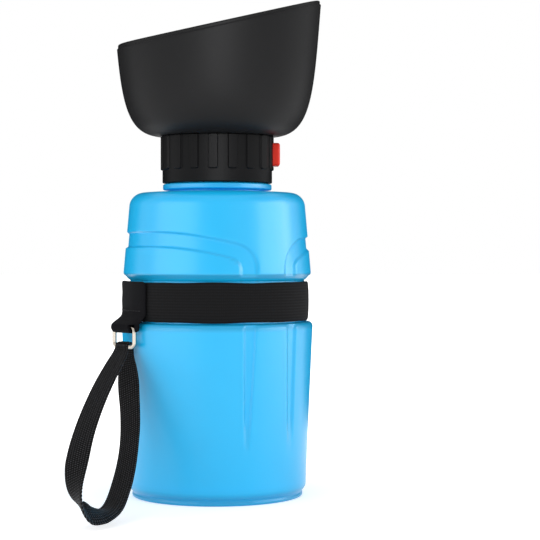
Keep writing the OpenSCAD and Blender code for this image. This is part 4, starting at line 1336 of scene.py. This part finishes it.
class BOTTLE_OT_inner_parts(bpy.types.Operator):
    """Give the valve, seals, spring, clamp and outlet their finishes"""

    bl_idname = "dog_bottle.inner_parts"
    bl_label = "Inner parts"

    def execute(self, context):
        black = context.scene.finish_colours.collar
        finishes = {
            "valve_body": grained("polypropylene_moulded", black, 1.4, "_valve"),
            "bowl_clamp": grained("polypropylene_moulded", black, 1.2, "_clamp"),
            "outlet_grille": grained("polypropylene_moulded", black, 1.6, "_grille"),
            "plug_seal": grained("silicone_moulded", linear("E6E2DA"), use="_seal"),
            "outlet_valve": grained("silicone_moulded", linear("EDEAE2"), use="_valve"),
            "valve_spool": grained("acetal_turned", linear("DEDEDA")),
            "spool_seal_inner": grained("nitrile_moulded", linear("242426")),
            "button_spring": grained("spring_steel_drawn", linear("B9BCBE")),
        }
        finishes["spool_seal_outer"] = finishes["spool_seal_inner"]
        for node, finish in finishes.items():
            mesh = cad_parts[node].data
            mesh.materials.clear()
            mesh.materials.append(finish)
        return {"FINISHED"}


# Stage

AMBIENT = 0.7
FLOOR_LIFT = 0.3
FLOOR_GLOW = 0.14
OVERHEAD_WATTS = 0.45
# Soft fill lamps: name, strength, azimuth in degrees from the camera's side, distance, height and
# size in mm; a strength of 1 is as bright as the white backdrop
FILLS = (
    ("fill_left", 0.78, -38, 1300, 330, (1150, 900)),
    ("fill_right", 0.78, 38, 1300, 330, (1150, 900)),
    ("fill_left_side", 0.75, -84, 1100, 110, (700, 700)),
    ("fill_right_side", 0.45, 86, 1100, 80, (700, 600)),
)
# Reflector cards, in the same terms, after the pieces that they show in
CARDS = {
    "pieces_by_side_cards": (("bottle_shell", "flow_button_moulded"), (
        ("card_left", 2.0, -54, 950, 150, (1000, 900)),
        ("card_right", 3.4, 78, 950, 150, (900, 900)),
        ("card_right_bright", 1.6, 96, 900, 150, (230, 900)))),
    "pieces_by_front_card": (("drinking_scoop_moulded", "screw_collar_moulded"), (
        ("card_front", 6.6, 1, 900, 60, (520, 700)),)),
}
# Black flags that darken the rims, as far round as these azimuths
FLAGS = ((-118, -176), (128, 176))
FLAG_NEAR_MM = 260.0
FLAG_AWAY_MM = 1500.0
FLAG_HIGH_MM = 1400.0
SWEEP_FROM_MM = 60.0
SWEEP_WIDTH_MM = 170.0
FLOOR_HALF_MM = 6000.0


def add_lamp(name, watts, place_mm, size_mm, aim_mm=(0, 0, 110)):
    """A soft rectangular lamp that faces a point."""
    data = bpy.data.lights.new(name, "AREA")
    data.energy = watts
    data.shape = "RECTANGLE"
    data.size, data.size_y = (s * MM for s in size_mm)
    lamp = bpy.data.objects.new(name, data)
    lamp.location = Vector(place_mm) * MM
    lamp.rotation_euler = (Vector(aim_mm) - Vector(place_mm)).to_track_quat("-Z", "Y").to_euler()
    bpy.context.scene.collection.objects.link(lamp)
    return lamp


def add_soft_lamp(name, strength, azimuth, distance, height, size_mm):
    """A lamp at an azimuth, facing the object; its watts are its strength times pi times its area."""
    turn = math.radians(azimuth)
    place = (distance * math.sin(turn), -distance * math.cos(turn), height)
    return add_lamp(name, strength * math.pi * size_mm[0] * size_mm[1] * MM * MM, place, size_mm)


def add_flag(name, azimuths):
    """A black studio flag: cloth on the floor and up a wall, that only glossy surfaces see."""
    turn = np.radians(np.linspace(*azimuths, 9))[None]
    away = np.array([[FLAG_NEAR_MM], [FLAG_AWAY_MM], [FLAG_AWAY_MM]])
    height = np.array([[1.0], [1.0], [FLAG_HIGH_MM]])
    wall = np.stack(np.broadcast_arrays(away * np.sin(turn), -away * np.cos(turn), height), -1)
    flag = grid_piece(name, wall)
    finish, _, shader = new_finish("velvet_black", Roughness=1.0, Specular_IOR_Level=0.0)
    shader.inputs["Base Color"].default_value = (0, 0, 0, 1)
    flag.data.materials.append(finish)
    flag.visible_camera = flag.visible_diffuse = flag.visible_shadow = False


class BOTTLE_OT_stage(bpy.types.Operator):
    """Lay the pale floor and light it as in a product studio"""

    bl_idname = "dog_bottle.stage"
    bl_label = "Stage and light"

    def execute(self, context):
        scene = context.scene
        scene.view_settings.view_transform = "Standard"
        corners = np.array([[[-1, -1, 0], [1, -1, 0]], [[-1, 1, 0], [1, 1, 0]]])
        floor = grid_piece("studio_floor", corners * FLOOR_HALF_MM)
        floor.data.materials.append(self.floor_finish(scene.finish_colours))
        world = bpy.data.worlds.new("studio_light")
        scene.world = world
        world.use_nodes = True
        tree = world.node_tree
        strength = add_node(
            tree, "ShaderNodeMapRange", {"Value": self.seen(tree), "To Min": AMBIENT, "To Max": 1.0})
        back = tree.nodes["Background"]
        back.inputs["Color"].default_value = (1, 1, 1, 1)
        tree.links.new(strength.outputs["Result"], back.inputs["Strength"])
        add_lamp("overhead", OVERHEAD_WATTS, (0, -350, 900), (900, 700))
        for fill in FILLS:
            add_soft_lamp(*fill).visible_glossy = False
        for count, azimuths in enumerate(FLAGS):
            add_flag(f"studio_flag_{count + 1}", azimuths)
        for label, (pieces, cards) in CARDS.items():
            self.add_cards(label, pieces, cards)
        return {"FINISHED"}

    def add_cards(self, label, pieces, cards):
        """Cards that light nothing, and show only in the gloss of the named pieces."""
        shown_in = bpy.data.collections.new(label)
        for piece in pieces:
            shown_in.objects.link(bpy.data.objects[piece])
        for card in cards:
            lamp = add_soft_lamp(*card)
            lamp.visible_diffuse = False
            lamp.light_linking.receiver_collection = shown_in

    def seen(self, tree):
        """1 for rays from the camera, off a gloss or through glass, which all see the white backdrop."""
        rays = add_node(tree, "ShaderNodeLightPath").outputs
        either = rays["Is Camera Ray"]
        for kind in ("Is Glossy Ray", "Is Transmission Ray"):
            either = add_node(
                tree, "ShaderNodeMath", {0: either, 1: rays[kind]}, operation="MAXIMUM").outputs[0]
        return either

    def floor_finish(self, colours):
        """Matt paper sweep: white where nothing shades it, and it keeps the bottle's shadow."""
        finish, tree, shader = new_finish("paper_sweep", Roughness=0.9, Specular_IOR_Level=0.1)
        tint(tree, shader, grain(tree, 60.0), scaled(tuple(colours.floor), 0.99), tuple(colours.floor))
        raise_surface(tree, shader, grain(tree, 2.0), 0.01)
        place = add_node(tree, "ShaderNodeTexCoord")
        away = add_node(
            tree, "ShaderNodeVectorMath", {0: place.outputs["Object"]}, operation="LENGTH")
        lift = add_node(
            tree, "ShaderNodeMapRange",
            {"Value": away.outputs["Value"], "From Min": SWEEP_FROM_MM * MM,
             "From Max": (SWEEP_FROM_MM + SWEEP_WIDTH_MM) * MM, "To Min": FLOOR_LIFT, "To Max": 1.0})
        seen_lift = crossed(tree, lift.outputs["Result"], self.seen(tree))
        strength = add_node(
            tree, "ShaderNodeMath", {0: seen_lift, 1: FLOOR_GLOW}, operation="ADD").outputs[0]
        glow = add_node(tree, "ShaderNodeEmission", {"Color": (1, 1, 1, 1), "Strength": strength})
        both = add_node(tree, "ShaderNodeAddShader", {0: shader.outputs[0], 1: glow.outputs[0]})
        tree.links.new(both.outputs[0], tree.nodes["Material Output"].inputs["Surface"])
        return finish


STEPS = (
    BOTTLE_OT_camera, BOTTLE_OT_strap, BOTTLE_OT_ring, BOTTLE_OT_band, BOTTLE_OT_bottle,
    BOTTLE_OT_collar, BOTTLE_OT_button, BOTTLE_OT_scoop, BOTTLE_OT_inner_parts, BOTTLE_OT_stage,
)


class BOTTLE_PT_panel(bpy.types.Panel):
    """Lists the steps that build the bottle, and its sizes and colours"""

    bl_idname = "BOTTLE_PT_panel"
    bl_label = "Dog travel bottle"
    bl_space_type = "VIEW_3D"
    bl_region_type = "UI"
    bl_category = "Bottle"

    def draw(self, context):
        for step in STEPS:
            self.layout.operator(step.bl_idname)
        for owner, group in GROUPS.items():
            box = self.layout.box()
            for name in group.__annotations__:
                box.prop(getattr(context.scene, owner), name)


GROUPS = {
    "bottle_sizes": BottleSizes, "cap_sizes": CapSizes, "strap_sizes": StrapSizes,
    "finish_colours": FinishColours,
}


def register():
    for cls in (*GROUPS.values(), *STEPS, BOTTLE_PT_panel):
        bpy.utils.register_class(cls)
    for name, group in GROUPS.items():
        setattr(bpy.types.Scene, name, bpy.props.PointerProperty(type=group))


def unregister():
    for name in GROUPS:
        delattr(bpy.types.Scene, name)
    for cls in (BOTTLE_PT_panel, *reversed(STEPS), *GROUPS.values()):
        bpy.utils.unregister_class(cls)


def main():
    register()
    bpy.ops.dog_bottle.camera()
    bpy.ops.dog_bottle.strap()
    bpy.ops.dog_bottle.ring()
    bpy.ops.dog_bottle.band()
    bpy.ops.dog_bottle.bottle()
    bpy.ops.dog_bottle.collar()
    bpy.ops.dog_bottle.button()
    bpy.ops.dog_bottle.scoop()
    bpy.ops.dog_bottle.inner_parts()
    bpy.ops.dog_bottle.stage()


if __name__ == "__main__":
    main()
